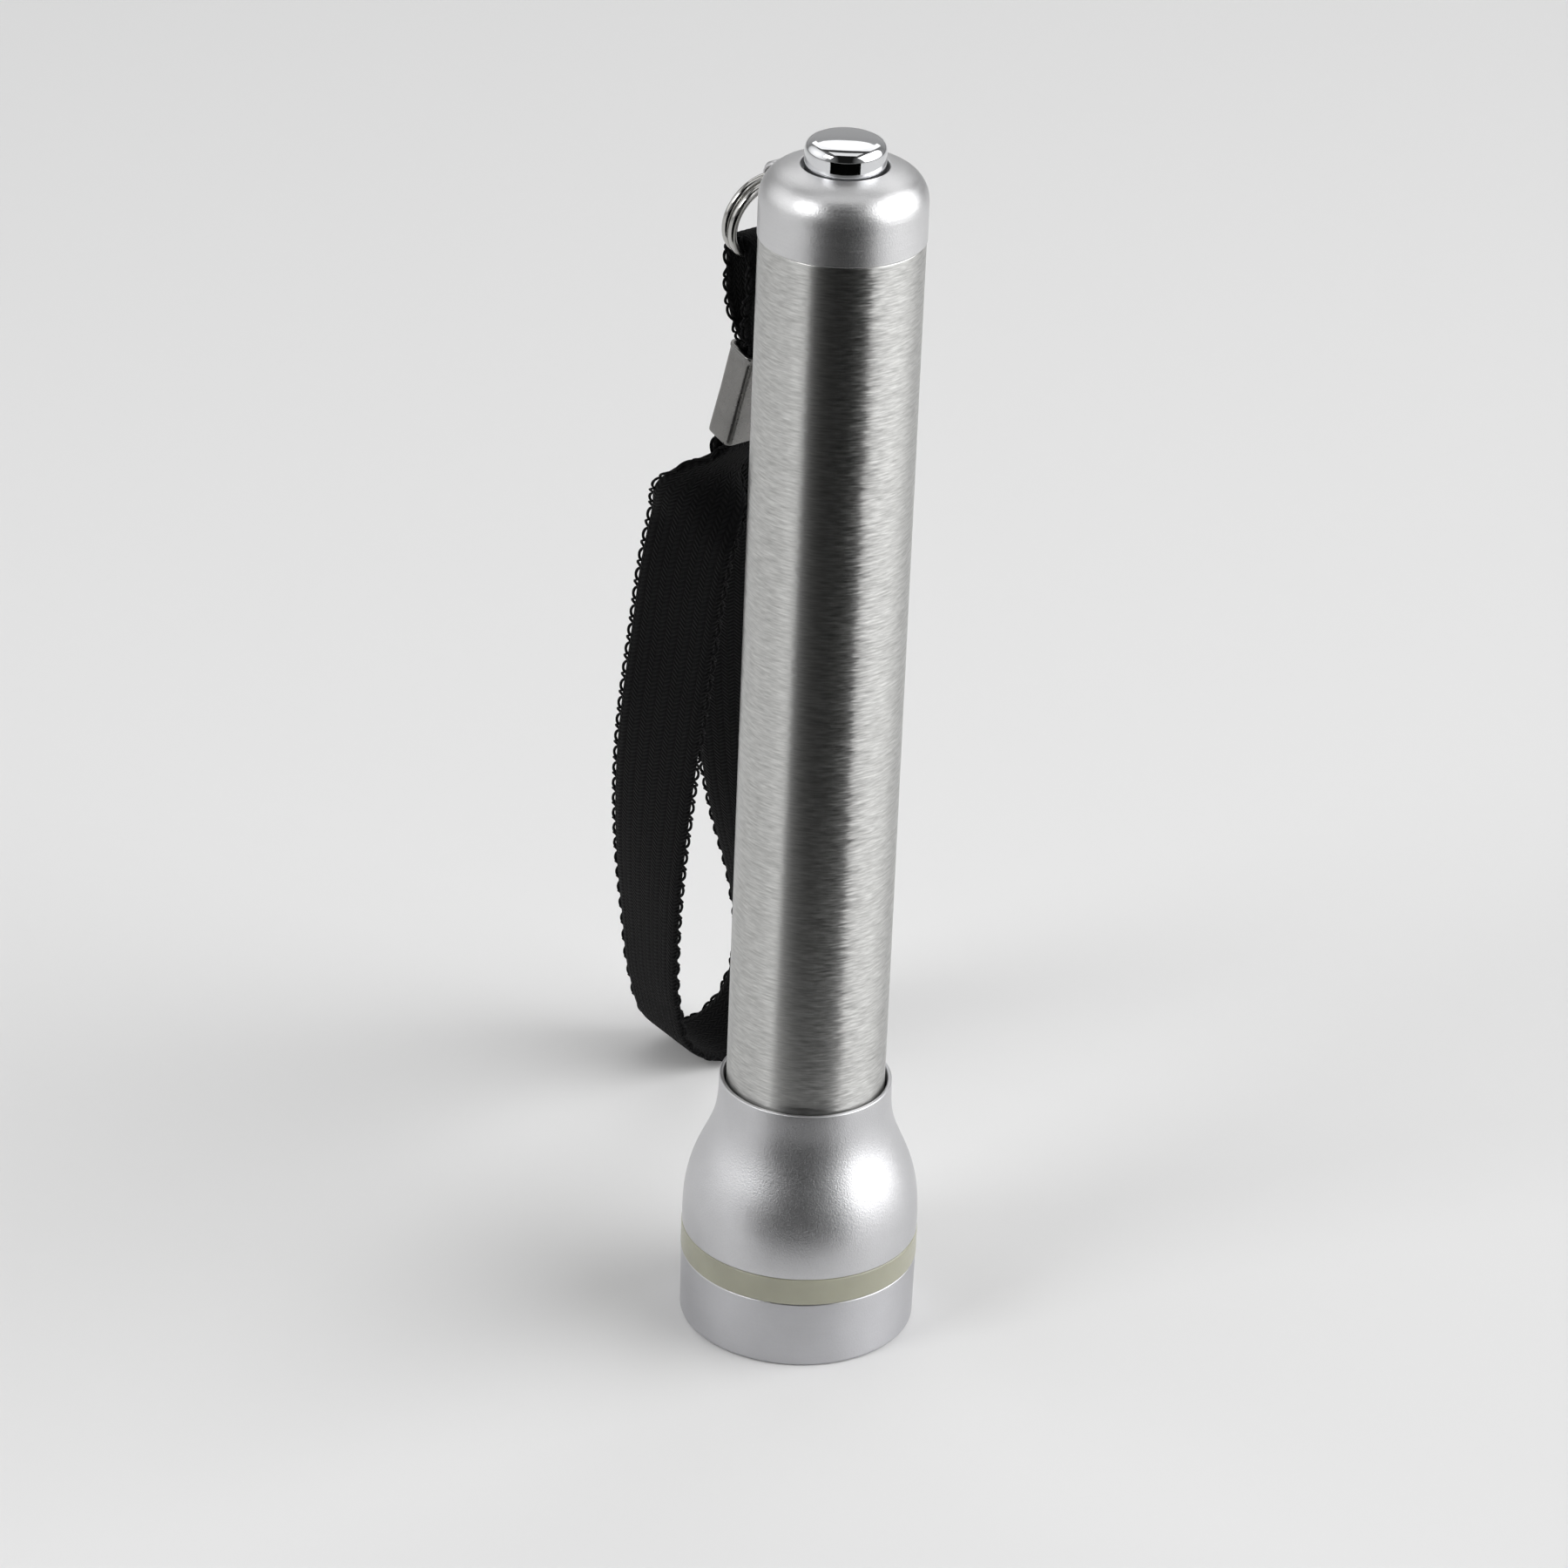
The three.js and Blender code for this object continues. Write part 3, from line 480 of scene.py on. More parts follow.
# Materials
def tone(red, green, blue):
    """A colour from its usual 0 to 255 values."""
    shares = (red / 255, green / 255, blue / 255)
    return tuple(((v + 0.055) / 1.055) ** 2.4 if v > 10 / 255 else v / 12.92 for v in shares)


class Shader:
    """A Principled material and the few nodes that give it grain."""

    def __init__(self, name, color, metallic=0.0, roughness=0.5, **sockets):
        self.material = bpy.data.materials.new(name)
        self.material.use_nodes = True
        self.nodes = self.material.node_tree.nodes
        self.links = self.material.node_tree.links
        self.surface = self.nodes["Principled BSDF"]
        self.color = color
        self.set("Base Color", (*color, 1))
        self.set("Metallic", metallic)
        self.set("Roughness", roughness)
        for socket, value in sockets.items():
            self.set(socket.replace("_", " "), value)
        self.place = self.node("ShaderNodeTexCoord").outputs["Object"]

    def node(self, kind, **settings):
        made = self.nodes.new(kind)
        for name, value in settings.items():
            setattr(made, name, value)
        return made

    def set(self, socket, value):
        self.surface.inputs[socket].default_value = value

    def join(self, output, socket):
        self.links.new(output, socket)

    def noise(self, scale, detail=2.0, stretch=(1, 1, 1), place=None):
        mapping = self.node("ShaderNodeMapping")
        mapping.inputs["Scale"].default_value = stretch
        texture = self.node("ShaderNodeTexNoise")
        texture.inputs["Scale"].default_value = scale
        texture.inputs["Detail"].default_value = detail
        self.join(place or self.place, mapping.inputs["Vector"])
        self.join(mapping.outputs["Vector"], texture.inputs["Vector"])
        return texture.outputs["Fac"]

    def math(self, operation, first, second=None):
        made = self.node("ShaderNodeMath", operation=operation)
        for socket, value in zip(made.inputs, (first, second)):
            if isinstance(value, (int, float)):
                socket.default_value = value
            elif value is not None:
                self.join(value, socket)
        return made.outputs["Value"]

    def spread(self, value, low, high, from_low=0.3, from_high=0.7):
        made = self.node("ShaderNodeMapRange")
        made.inputs["From Min"].default_value = from_low
        made.inputs["From Max"].default_value = from_high
        made.inputs["To Min"].default_value = low
        made.inputs["To Max"].default_value = high
        self.join(value, made.inputs["Value"])
        return made.outputs["Result"]

    def rough(self, value, low, high):
        self.join(self.spread(value, low, high), self.surface.inputs["Roughness"])

    def tint(self, value, dark, light):
        mix = self.node("ShaderNodeMix", data_type="RGBA")
        colors = [s for s in mix.inputs if s.type == "RGBA"]
        colors[0].default_value = (*dark, 1)
        colors[1].default_value = (*light, 1)
        self.join(value, mix.inputs["Factor"])
        self.join(next(s for s in mix.outputs if s.type == "RGBA"), self.surface.inputs["Base Color"])

    def vary(self, value, amount):
        """The colour, lighter and darker by a share of itself."""
        dark = tuple(c * (1 - amount) for c in self.color)
        light = tuple(min(1.0, c * (1 + amount)) for c in self.color)
        self.tint(self.spread(value, 0, 1), dark, light)

    def bump(self, height, distance, strength=1.0):
        made = self.node("ShaderNodeBump")
        made.inputs["Strength"].default_value = strength
        made.inputs["Distance"].default_value = distance
        self.join(height, made.inputs["Height"])
        self.join(made.outputs["Normal"], self.surface.inputs["Normal"])

    def waver(self, value, amount):
        """Tilts the surface a little to either side, round the Z axis, as brush marks do."""
        tangent = self.node("ShaderNodeTangent", direction_type="RADIAL", axis="Z")
        tilt = self.math("MULTIPLY", self.math("SUBTRACT", value, 0.5), amount)
        aside = self.node("ShaderNodeVectorMath", operation="SCALE")
        self.join(tangent.outputs["Tangent"], aside.inputs["Vector"])
        self.join(tilt, aside.inputs["Scale"])
        total = self.node("ShaderNodeVectorMath", operation="ADD")
        self.join(self.node("ShaderNodeNewGeometry").outputs["Normal"], total.inputs[0])
        self.join(aside.outputs["Vector"], total.inputs[1])
        level = self.node("ShaderNodeVectorMath", operation="NORMALIZE")
        self.join(total.outputs["Vector"], level.inputs[0])
        self.join(level.outputs["Vector"], self.surface.inputs["Normal"])

    def brushed(self, amount, rotation):
        """Brushing round the Z axis."""
        tangent = self.node("ShaderNodeTangent", direction_type="RADIAL", axis="Z")
        self.join(tangent.outputs["Tangent"], self.surface.inputs["Tangent"])
        self.set("Anisotropic", amount)
        self.set("Anisotropic Rotation", rotation)


def satin_metal(name, color, rough_low, rough_high, anisotropy, streak_share):
    """Fine-blasted and anodised metal: a bright grain, faint turning marks and faint clouding."""
    made = Shader(name, color, metallic=1.0, roughness=(rough_low + rough_high) / 2)
    grain = made.noise(5200, detail=3.0)
    streaks = made.noise(1, detail=2.0, stretch=(260, 260, 5200))
    cloud = made.noise(160, detail=2.0)
    mixed = made.math("ADD", made.math("MULTIPLY", grain, 1 - streak_share),
                      made.math("MULTIPLY", streaks, streak_share))
    made.vary(made.math("ADD", made.math("MULTIPLY", cloud, 0.5), made.math("MULTIPLY", mixed, 0.5)), 0.07)
    made.rough(mixed, rough_low, rough_high)
    made.bump(mixed, 0.00003)
    made.brushed(anisotropy, GLOSS_ALONG_AXIS)
    return made.material


def brushed_metal(name, color, rough_low, rough_high, anisotropy):
    """Steel with fine scratches round the tube."""
    made = Shader(name, color, metallic=1.0, roughness=(rough_low + rough_high) / 2)
    streaks = made.noise(1, detail=3.0, stretch=(700, 700, 5200))
    broad = made.noise(1, detail=2.0, stretch=(420, 420, 3000))
    mixed = made.math("ADD", made.math("MULTIPLY", streaks, 0.65), made.math("MULTIPLY", broad, 0.35))
    made.vary(mixed, 0.27)
    made.rough(mixed, rough_low, rough_high)
    made.waver(mixed, BRUSH_WAVER)
    made.brushed(anisotropy, GLOSS_ALONG_AXIS)
    return made.material


def plain(name, color, roughness, metallic=0.0, grain=2500, depth=0.000008, vary=0.05, **sockets):
    """Moulded or machined material with a fine grain."""
    made = Shader(name, color, metallic=metallic, roughness=roughness, **sockets)
    fine = made.noise(grain, detail=3.0)
    made.vary(made.noise(grain / 12, detail=2.0), vary)
    made.rough(fine, roughness * 0.85, min(1.0, roughness * 1.15))
    made.bump(fine, depth)
    return made.material


def clear(name, color, roughness, ior):
    """Clear plastic or epoxy, a little uneven in its gloss."""
    made = Shader(name, color, roughness=roughness, Transmission_Weight=1.0, IOR=ior)
    made.rough(made.noise(900, detail=2.0), roughness, roughness * 2)
    return made.material


def woven(name):
    """Black nylon tape: rows of slanting stitches, which turn round from row to row."""
    made = Shader(name, tone(7, 7, 8), roughness=0.85, Sheen_Weight=0.02, Sheen_Roughness=0.5,
                  Specular_IOR_Level=0.1)
    spot = made.node("ShaderNodeAttribute", attribute_name="web_place")
    parts = made.node("ShaderNodeSeparateXYZ")
    made.join(spot.outputs["Vector"], parts.inputs["Vector"])
    run, across = parts.outputs["X"], parts.outputs["Y"]
    slant = made.math("MULTIPLY", made.math("PINGPONG", across, RIB_WIDTH), STITCH_SLANT)
    phase = made.math("MULTIPLY", made.math("ADD", run, slant), 2 * math.pi / STITCH_PITCH)
    stitch = made.spread(made.math("SINE", phase), 0, 1, -1, 1)
    row = made.math("ABSOLUTE", made.math("SINE", made.math("MULTIPLY", across, math.pi / RIB_WIDTH)))
    height = made.math("MULTIPLY", stitch, made.math("POWER", row, 0.5))
    fuzz = made.noise(9000, detail=2.0)
    # The stitches are painted lighter on their crests and darker in their dips: painted highlight and painted
    # shade, on top of the bump.
    made.tint(height, tone(3, 3, 4), tone(14, 14, 15))
    made.rough(fuzz, 0.68, 0.92)
    made.bump(made.math("ADD", height, made.math("MULTIPLY", fuzz, STITCH_FUZZ)), STITCH_DEPTH)
    return made.material


def sleeve(name, low, high):
    """Printed sleeve of a cell: a plain dark body with one copper-coloured band, no words."""
    made = Shader(name, tone(*SLEEVE_DARK), metallic=0.3, roughness=0.35, Coat_Weight=0.4)
    parts = made.node("ShaderNodeSeparateXYZ")
    made.join(made.place, parts.inputs["Vector"])
    band = made.math("LESS_THAN", parts.outputs["Z"], low + (high - low) * SLEEVE_BAND)
    made.tint(band, tone(*SLEEVE_DARK), tone(*SLEEVE_COPPER))
    made.bump(made.noise(1500, detail=2.0), 0.000006)
    return made.material


head_metal = satin_metal("head_satin", tone(208, 208, 210), 0.36, 0.46, 0.2, 0.1)
bezel_metal = satin_metal("bezel_satin", tone(196, 196, 199), 0.38, 0.47, 0.6, 0.4)
cap_metal = satin_metal("cap_satin", tone(214, 214, 215), 0.36, 0.45, 0.4, 0.4)
collar_metal = satin_metal("machined", tone(190, 191, 193), 0.26, 0.34, 0.4, 0.5)
barrel_metal = brushed_metal("brushed_barrel", tone(194, 194, 192), 0.31, 0.38, 0.9)
button_metal = plain("polished_chrome", tone(226, 227, 229), 0.05, metallic=1.0, depth=0.0000005, vary=0.01)
ring_metal = plain("polished_steel", tone(190, 189, 186), 0.16, metallic=1.0, depth=0.000002, vary=0.03)
clamp_metal = plain("crimp_steel", tone(128, 127, 125), 0.30, metallic=1.0, grain=3200, vary=0.12)
spring_metal = plain("spring_steel", tone(196, 197, 199), 0.22, metallic=1.0, depth=0.000002)
brass = plain("contact_brass", tone(206, 170, 92), 0.26, metallic=1.0, depth=0.000003)
mirror = plain("metallised", tone(232, 233, 235), 0.04, metallic=1.0, depth=0.000001, vary=0.01)
rubber = plain("seal_rubber", tone(24, 24, 25), 0.62)
dark_plastic = plain("dark_plastic", tone(30, 31, 33), 0.48)
pale_plastic = plain("pale_plastic", tone(214, 209, 194), 0.45)
board_green = plain("board_laminate", tone(28, 84, 48), 0.42, Coat_Weight=0.5)
liner_card = plain("liner_card", tone(222, 217, 204), 0.72, grain=3500)
glow = plain("glow_plastic", tone(160, 159, 142), 0.34, vary=0.06, Subsurface_Weight=0.5,
             Subsurface_Radius=(0.0012, 0.0012, 0.0009), Subsurface_Scale=1.0, Coat_Weight=0.25)
lens_glass = clear("lens_clear", (0.96, 0.98, 0.98), 0.02, 1.49)
lamp_epoxy = clear("lamp_epoxy", (0.98, 0.97, 0.92), 0.04, 1.53)
phosphor = plain("lamp_phosphor", tone(238, 206, 92), 0.6)
webbing_black = woven("black_webbing")

add_camera()

# Wrist strap, which hangs from the ring
radial = Vector((math.cos(LUG_ANGLE), math.sin(LUG_ANGLE), 0))
tangent = radial.cross(UP)
lug_hole = Vector(joints["ring_swing"]["pos_m"])
eye_seat = Vector(joints["strap_swing"]["pos_m"])
ring_down = (RING_HANG - tangent * RING_HANG.dot(tangent)).normalized()
ring_axis = tangent.cross(ring_down)
ring_centre = eye_seat - ring_down * RING_R


def strap_run(start, hang):
    """(side direction, place by the way down a straight run and out from its middle)."""
    side = (tangent - hang * tangent.dot(hang)).normalized()
    face = hang.cross(side)
    return side, lambda down, out: start + hang * down + face * out


eye_top_at = strap_run(eye_seat, ring_down)[1]
eye_at = strap_run(eye_seat, EYE_HANG)[1]
clamp_side, clamp_at = strap_run(eye_at(EYE_LENGTH, 0), CLAMP_HANG)
layer_half = (WEB_T + WEB_GAP) / 2
eye_half = RING_PITCH / 2 + RING_WIRE_R + WIRE_GAP + WEB_T / 2
ring_rise = RING_R - math.sqrt(RING_R ** 2 - (WEB_GATHERED / 2) ** 2)
eye_top = RING_WIRE_R + ring_rise + WIRE_GAP + WEB_T / 2


def eye_side(sign):
    """One side of the eye's route, from inside the crimp up to the ring."""
    return [
        clamp_at(EYE_GRIP, sign * layer_half),
        clamp_at(EYE_GRIP / 2, sign * layer_half),
        clamp_at(-CLAMP_LEAD, sign * layer_half),
        eye_at(EYE_LENGTH * EYE_NARROW_AT, sign * (layer_half + (eye_half - layer_half) * EYE_NARROW_TO)),
        eye_at(EYE_LENGTH * EYE_FULL_AT, sign * eye_half),
        eye_top_at(0, sign * eye_half),
        eye_top_at(-eye_top * EYE_CROWN_UP, sign * eye_half * EYE_CROWN_IN),
    ]


def loop_end(sign):
    """The loop's route inside the crimp and just below it."""
    return [
        clamp_at(CLAMP_LENGTH - CLAMP_GRIP, sign * layer_half),
        clamp_at(CLAMP_LENGTH - CLAMP_GRIP / 2, sign * layer_half),
        clamp_at(CLAMP_LENGTH + CLAMP_LEAD, sign * layer_half),
    ]


clamp_angle = math.atan2(clamp_side.y, clamp_side.x)


def loop_side(run, length):
    """The direction across the loop, which twists on its way round."""
    front_from, front_to = (length * share for share in FRONT_TURN)
    back_from, back_to = (length * share for share in BACK_TURN)
    held = CLAMP_GRIP + CLAMP_LEAD
    angle = clamp_angle
    angle += (FRONT_LEG_ANGLE - clamp_angle) * smoothstep(run, held, held + TWIST_LENGTH)
    angle += (TURN_ANGLE - FRONT_LEG_ANGLE) * smoothstep(run, front_from, front_to)
    angle += (BACK_LEG_ANGLE - TURN_ANGLE) * smoothstep(run, back_from, back_to)
    angle += (clamp_angle - BACK_LEG_ANGLE) * smoothstep(run, length - held - TWIST_LENGTH, length - held)
    return Vector((math.cos(angle), math.sin(angle), 0))


def eye_width(run, length):
    """The eye swells between the crimp and the ring, and is gathered at both."""
    clear_run = min(run, length - run) - EYE_GRIP
    spread = smoothstep(clear_run, 0, EYE_SPREAD)
    gathered = smoothstep(clear_run, EYE_LENGTH * EYE_GATHER[0], EYE_LENGTH * EYE_GATHER[1])
    return WEB_GATHERED + EYE_SWELL * (spread - gathered)


def loop_width(run, length):
    """The loop spreads from its gathered ends to the tape's full width."""
    clear_run = min(run, length - run) - CLAMP_GRIP - CLAMP_LEAD
    return WEB_GATHERED + (WEB_WIDTH - WEB_GATHERED) * smoothstep(clear_run, 0, SPREAD_LENGTH)


def strap_frames(knots, width_at, side_at):
    """Places along the strap, each (point, side, face, width, run), the line itself, and its length."""
    line, run = evenly(curve_points(knots), WEB_STEP)
    along = np.gradient(line, axis=0)
    frames = []
    for point, direction, way in zip(line, along, run):
        ahead = Vector(direction).normalized()
        side = side_at(way, run[-1])
        side = (side - ahead * side.dot(ahead)).normalized()
        frames.append((Vector(point), side, ahead.cross(side), width_at(way, run[-1]), way))
    return frames, line, float(run[-1])


def web_section(width):
    """Points round the tape's section, (across, out): two ribbed faces and two rounded edges."""
    shares = np.sin(np.linspace(-math.pi / 2, math.pi / 2, WEB_ACROSS))
    across = shares * width / 2
    body = WEB_T / 2 * np.clip(1 - np.abs(shares) ** SECTION_POWER, 0, 1) ** 0.5
    ribs = RIB_DEPTH * (np.abs(np.sin(across * (math.pi / RIB_WIDTH))) - 1) * (np.abs(shares) < RIB_LIMIT)
    upper = list(zip(across, body + ribs))
    lower = list(zip(across[-2:0:-1], -(body + ribs)[-2:0:-1]))
    return upper + lower


def keep_places(piece, places):
    """Stores each point's place on the tape, (run, across, 0), for the stitches."""
    made = piece.data.attributes.new("web_place", "FLOAT_VECTOR", "POINT")
    made.data.foreach_set("vector", places.ravel())


def webbing(name, frames, body, node):
    """The woven tape, lofted through its sections."""
    rings, places = [], []
    for point, side, face, width, run in frames:
        section = web_section(width)
        rings.append([point + side * a + face * b for a, b in section])
        places += [(run, a * WEB_WIDTH / width, 0.0) for a, _ in section]
    vertices, faces = loft(rings)
    piece = add_piece(name, vertices, faces, webbing_black, body, [node])
    keep_places(piece, np.array(places, np.float32))
    return piece


def picot_edges(name, frames, body, skip):
    """The loops of weft thread along both edges of the tape."""
    runs = np.array([f[4] for f in frames])
    first, last = skip, runs[-1] - skip
    count = round((last - first) / PICOT_PITCH)
    angles = np.linspace(0, 2 * math.pi, PICOT_SIDES, endpoint=False)
    vertices, faces = [], []
    for sign in (1, -1):
        rings = []
        for i in range(count * PICOT_STEPS + 1):
            run = first + (last - first) * i / (count * PICOT_STEPS)
            k = min(int(np.searchsorted(runs, run)), len(frames) - 1)
            j = max(k - 1, 0)
            share = 0.0 if k == j else (run - runs[j]) / (runs[k] - runs[j])
            point = frames[j][0].lerp(frames[k][0], share)
            side = frames[j][1].lerp(frames[k][1], share).normalized()
            face = frames[j][2].lerp(frames[k][2], share).normalized()
            width = frames[j][3] + (frames[k][3] - frames[j][3]) * share
            swing = i / PICOT_STEPS
            arch = abs(math.sin(math.pi * swing)) ** PICOT_FULLNESS
            out = width / 2 - PICOT_THREAD * PICOT_SINK + PICOT_REACH * arch
            lift = WEB_T * PICOT_SWAY * math.cos(math.pi * swing)
            at = point + side * (sign * out) + face * lift
            rings.append([at + side * (PICOT_THREAD * math.cos(a)) + face * (PICOT_THREAD * math.sin(a))
                          for a in angles])
        more, quads = loft(rings)
        faces += [tuple(v + len(vertices) for v in face) for face in quads]
        vertices += more
    piece = add_piece(name, vertices, faces, webbing_black, body)
    places = np.zeros((len(piece.data.vertices), 3), np.float32)
    places[:, 0] = [v.co.z for v in piece.data.vertices]
    places[:, 1] = RIB_WIDTH / 2
    keep_places(piece, places)
    return piece


eye_knots = [*eye_side(1), eye_top_at(-eye_top, 0), *reversed(eye_side(-1))]
eye_frames, eye_line, eye_length = strap_frames(eye_knots, eye_width, lambda run, length: tangent.copy())
loop_knots = [*loop_end(1), *(Vector(p) for p in LOOP_ROUTE), *reversed(loop_end(-1))]
loop_frames, loop_line, loop_length = strap_frames(loop_knots, loop_width, loop_side)
strap_eye = webbing("strap_eye_web", eye_frames, "strap", "strap_eye")
strap_loop = webbing("strap_loop_web", loop_frames, "strap", "strap_loop")
eye_edges = picot_edges("strap_eye_edges", eye_frames, "strap", CLAMP_GRIP + CLAMP_LEAD / 2)
loop_edges = picot_edges("strap_loop_edges", loop_frames, "strap", CLAMP_GRIP + CLAMP_LEAD / 2)


# Crimped metal sleeve on the strap, with a flared lip at each mouth
def clamp_section(width, depth, corner, points=8):
    """Points (across, out) round a rectangle with round corners."""
    section = []
    for quarter, (sx, sy) in enumerate(((1, -1), (1, 1), (-1, 1), (-1, -1))):
        centre = (sx * (width / 2 - corner), sy * (depth / 2 - corner))
        for s in range(points + 1):
            angle = math.pi / 2 * (quarter - 1 + s / points)
            section.append((centre[0] + corner * math.cos(angle), centre[1] + corner * math.sin(angle)))
    return section


inner_width = WEB_GATHERED + 2 * WIRE_GAP
inner_depth = 2 * WEB_T + WEB_GAP + 2 * CLAMP_ROOM
outer_width, outer_depth = inner_width + 2 * CLAMP_WALL, inner_depth + 2 * CLAMP_WALL


def clamp_ring(down, widen, inside):
    """The crimp's section some way down it, on its outer or inner wall."""
    width, depth = (inner_width, inner_depth) if inside else (outer_width, outer_depth)
    corner = CLAMP_CORNER - (CLAMP_WALL if inside else 0)
    section = clamp_section(width + 2 * widen, depth + 2 * widen, corner + widen)
    return [clamp_at(down, b) + clamp_side * a for a, b in section]


# The outer wall's rings from the upper mouth down: (way down, how much wider)
clamp_outline = (
    (0.0, CLAMP_LIP * 0.2), (0.00006, CLAMP_LIP * 0.8), (0.0002, CLAMP_LIP), (0.00036, CLAMP_LIP * 0.8),
    (0.0005, 0.0), (0.0012, 0.0),
    (CLAMP_LENGTH * 0.3, -0.4 * CLAMP_WAIST), (CLAMP_LENGTH * 0.5, -CLAMP_WAIST),
    (CLAMP_LENGTH * 0.7, -0.4 * CLAMP_WAIST),
    (CLAMP_LENGTH - 0.0012, 0.0), (CLAMP_LENGTH - 0.0004, 0.0),
    (CLAMP_LENGTH - 0.00012, -0.00002), (CLAMP_LENGTH, -0.00012),
)
rings = [clamp_ring(CLAMP_END, 0.0, True)]
rings += [clamp_ring(down, widen, False) for down, widen in clamp_outline]
rings += [clamp_ring(CLAMP_LENGTH - CLAMP_END, 0.0, True)]
vertices, faces = loft(rings, closed=True)
strap_clamp = add_piece("strap_clamp_fine", vertices, faces, clamp_metal, "strap",
                        ["strap_clamp"])


# Split ring of two turns, hanging in the lug's hole
ring_path = []
for i in range(RING_STEPS + 1):
    angle = RING_CROSSING + (4 * math.pi - 2 * RING_CROSSING) * i / RING_STEPS
    crossed = smoothstep(angle, 2 * math.pi - RING_CROSSING, 2 * math.pi + RING_CROSSING)
    across = tangent * math.cos(angle) - ring_down * math.sin(angle)
    at = ring_centre + across * RING_R + ring_axis * (RING_PITCH * (crossed - 0.5))
    ring_path.append((at, across, ring_axis))
vertices, faces = wire(ring_path, RING_WIRE_R, RING_SIDES)
add_piece("split_ring_fine", vertices, faces, ring_metal, "ring", ["split_ring"])


# Turned pieces
turned_piece("bezel", bezel_metal)
turned_piece("head_shell", head_metal, edge=LIP_EDGE)
turned_piece("glow_ring", glow, edge=GLOW_EDGE)
turned_piece("barrel_tube", barrel_metal, edge=SEAM_EDGE)
turned_piece("button", button_metal)
inner_materials = {
    "lens_gasket": rubber, "lens": lens_glass, "reflector": mirror, "led_lamp": lamp_epoxy,
    "led_board": board_green, "led_holder": dark_plastic, "front_contact": brass,
    "front_collar": collar_metal, "cell_liner": liner_card, "rear_collar": collar_metal,
    "switch_retainer": collar_metal, "switch_contact": brass, "switch_housing": dark_plastic,
    "switch_plunger": pale_plastic,
}
for node, material in inner_materials.items():
    turned_piece(node, material, INNER_SIDES)
for node in ("cell_front", "cell_rear"):
    low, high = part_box(node)
    turned_piece(node, sleeve(f"{node}_sleeve", low.z, high.z), INNER_SIDES)


# Lug on the cap
def lug_mesh():
    """Vertices and faces of the lug: a rounded plate with a round hole and small bevels."""
    reach = Vector((lug_hole.x, lug_hole.y, 0)).length
    outer_r = LUG_HOLE_R + LUG_RIM
    outer, hole = [], []
    for s in range(LUG_STEPS):
        angle = 2 * math.pi * s / LUG_STEPS
        c, v = math.cos(angle), math.sin(angle)
        hole.append((reach + LUG_HOLE_R * c, lug_hole.z + LUG_HOLE_R * v))
        if c >= 0:
            outer.append((reach + outer_r * c, lug_hole.z + outer_r * v))
        else:
            scale = outer_r / max(abs(v), abs(c) * outer_r / LUG_ROOT)
            outer.append((reach + c * scale, lug_hole.z + v * scale))
    layers = []
    half = LUG_T / 2
    flat = half - LUG_BEVEL
    for ring, inward in ((outer, -1), (hole, 1)):
        for depth, inset in ((-half, LUG_BEVEL), (-flat, 0), (flat, 0), (half, LUG_BEVEL)):
            layer = []
            for r, z in ring:
                away = Vector((r - reach, z - lug_hole.z)).normalized() * inset * inward
                layer.append(radial * (r + away.x) + UP * (z + away.y) + tangent * depth)
            layers.append(layer)
    order = layers[:4] + layers[:3:-1]
    return loft(order, closed=True)


turned_piece("tail_cap", cap_metal)
vertices, faces = lug_mesh()
add_piece("tail_lug", vertices, faces, cap_metal, "tail", ["tail_cap"])


# Seals, springs, threads and the lamp's phosphor
def o_ring(node):
    """A round seal in place of a plain one."""
    low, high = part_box(node)
    minor = (high.z - low.z) / 2
    major = (high.x - low.x) / 2 - minor
    section = [(major + minor * math.cos(a), (low.z + high.z) / 2 + minor * math.sin(a))
               for a in np.linspace(0, 2 * math.pi, SEAL_SIDES, endpoint=False)]
    vertices, faces = turned_mesh(section, True, INNER_SIDES)
    add_piece(f"{node}_round", vertices, faces, rubber, body_of_node[node], [node])


def coil(node, turns, wire_r, low_r, high_r):
    """A wound spring in place of a plain one, as high as its node."""
    low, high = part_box(node)
    steps = round(turns * COIL_STEPS)
    path = []
    for i in range(steps + 1):
        share = i / steps
        angle = 2 * math.pi * turns * share
        across = Vector((math.cos(angle), math.sin(angle), 0))
        at = across * (low_r + (high_r - low_r) * share)
        at.z = low.z + wire_r + (high.z - low.z - 2 * wire_r) * share
        path.append((at, across, UP))
    vertices, faces = wire(path, wire_r, COIL_SIDES)
    body = body_of_node[node]
    return add_piece(f"{node}_coil", vertices, faces, spring_metal, body, [node])


def thread(name, radius, low, high, body):
    """A rounded helical ridge that fades into the core at both ends."""
    turns = (high - low - THREAD_PITCH) / THREAD_PITCH
    steps = round(turns * THREAD_STEPS)
    root = radius - THREAD_ROOT_SINK
    half = THREAD_PITCH * THREAD_HALF
    flank, top = half * THREAD_FLANK, half * THREAD_CREST
    rings = []
    for i in range(steps + 1):
        angle = 2 * math.pi * turns * i / steps
        z = low + THREAD_PITCH / 2 + THREAD_PITCH * turns * i / steps
        fade = smoothstep(min(i, steps - i), 0, THREAD_STEPS * THREAD_FADE)
        crest = radius + THREAD_DEPTH * fade - THREAD_END_SINK * (1 - fade)
        middle = (root + crest) / 2
        lower = ((root, -half), (middle, -flank), (crest, -top))
        upper = ((crest, top), (middle, flank), (root, half))
        rings.append([Vector((r * math.cos(angle), r * math.sin(angle), z + h)) for r, h in lower + upper])
    vertices, faces = loft(rings)
    add_piece(name, vertices, faces, collar_metal, body)


o_ring("front_seal")
o_ring("cap_seal")
coil("tail_spring", **TAIL_SPRING)
button_coil = coil("button_spring", **BUTTON_SPRING)
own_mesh(button_coil)

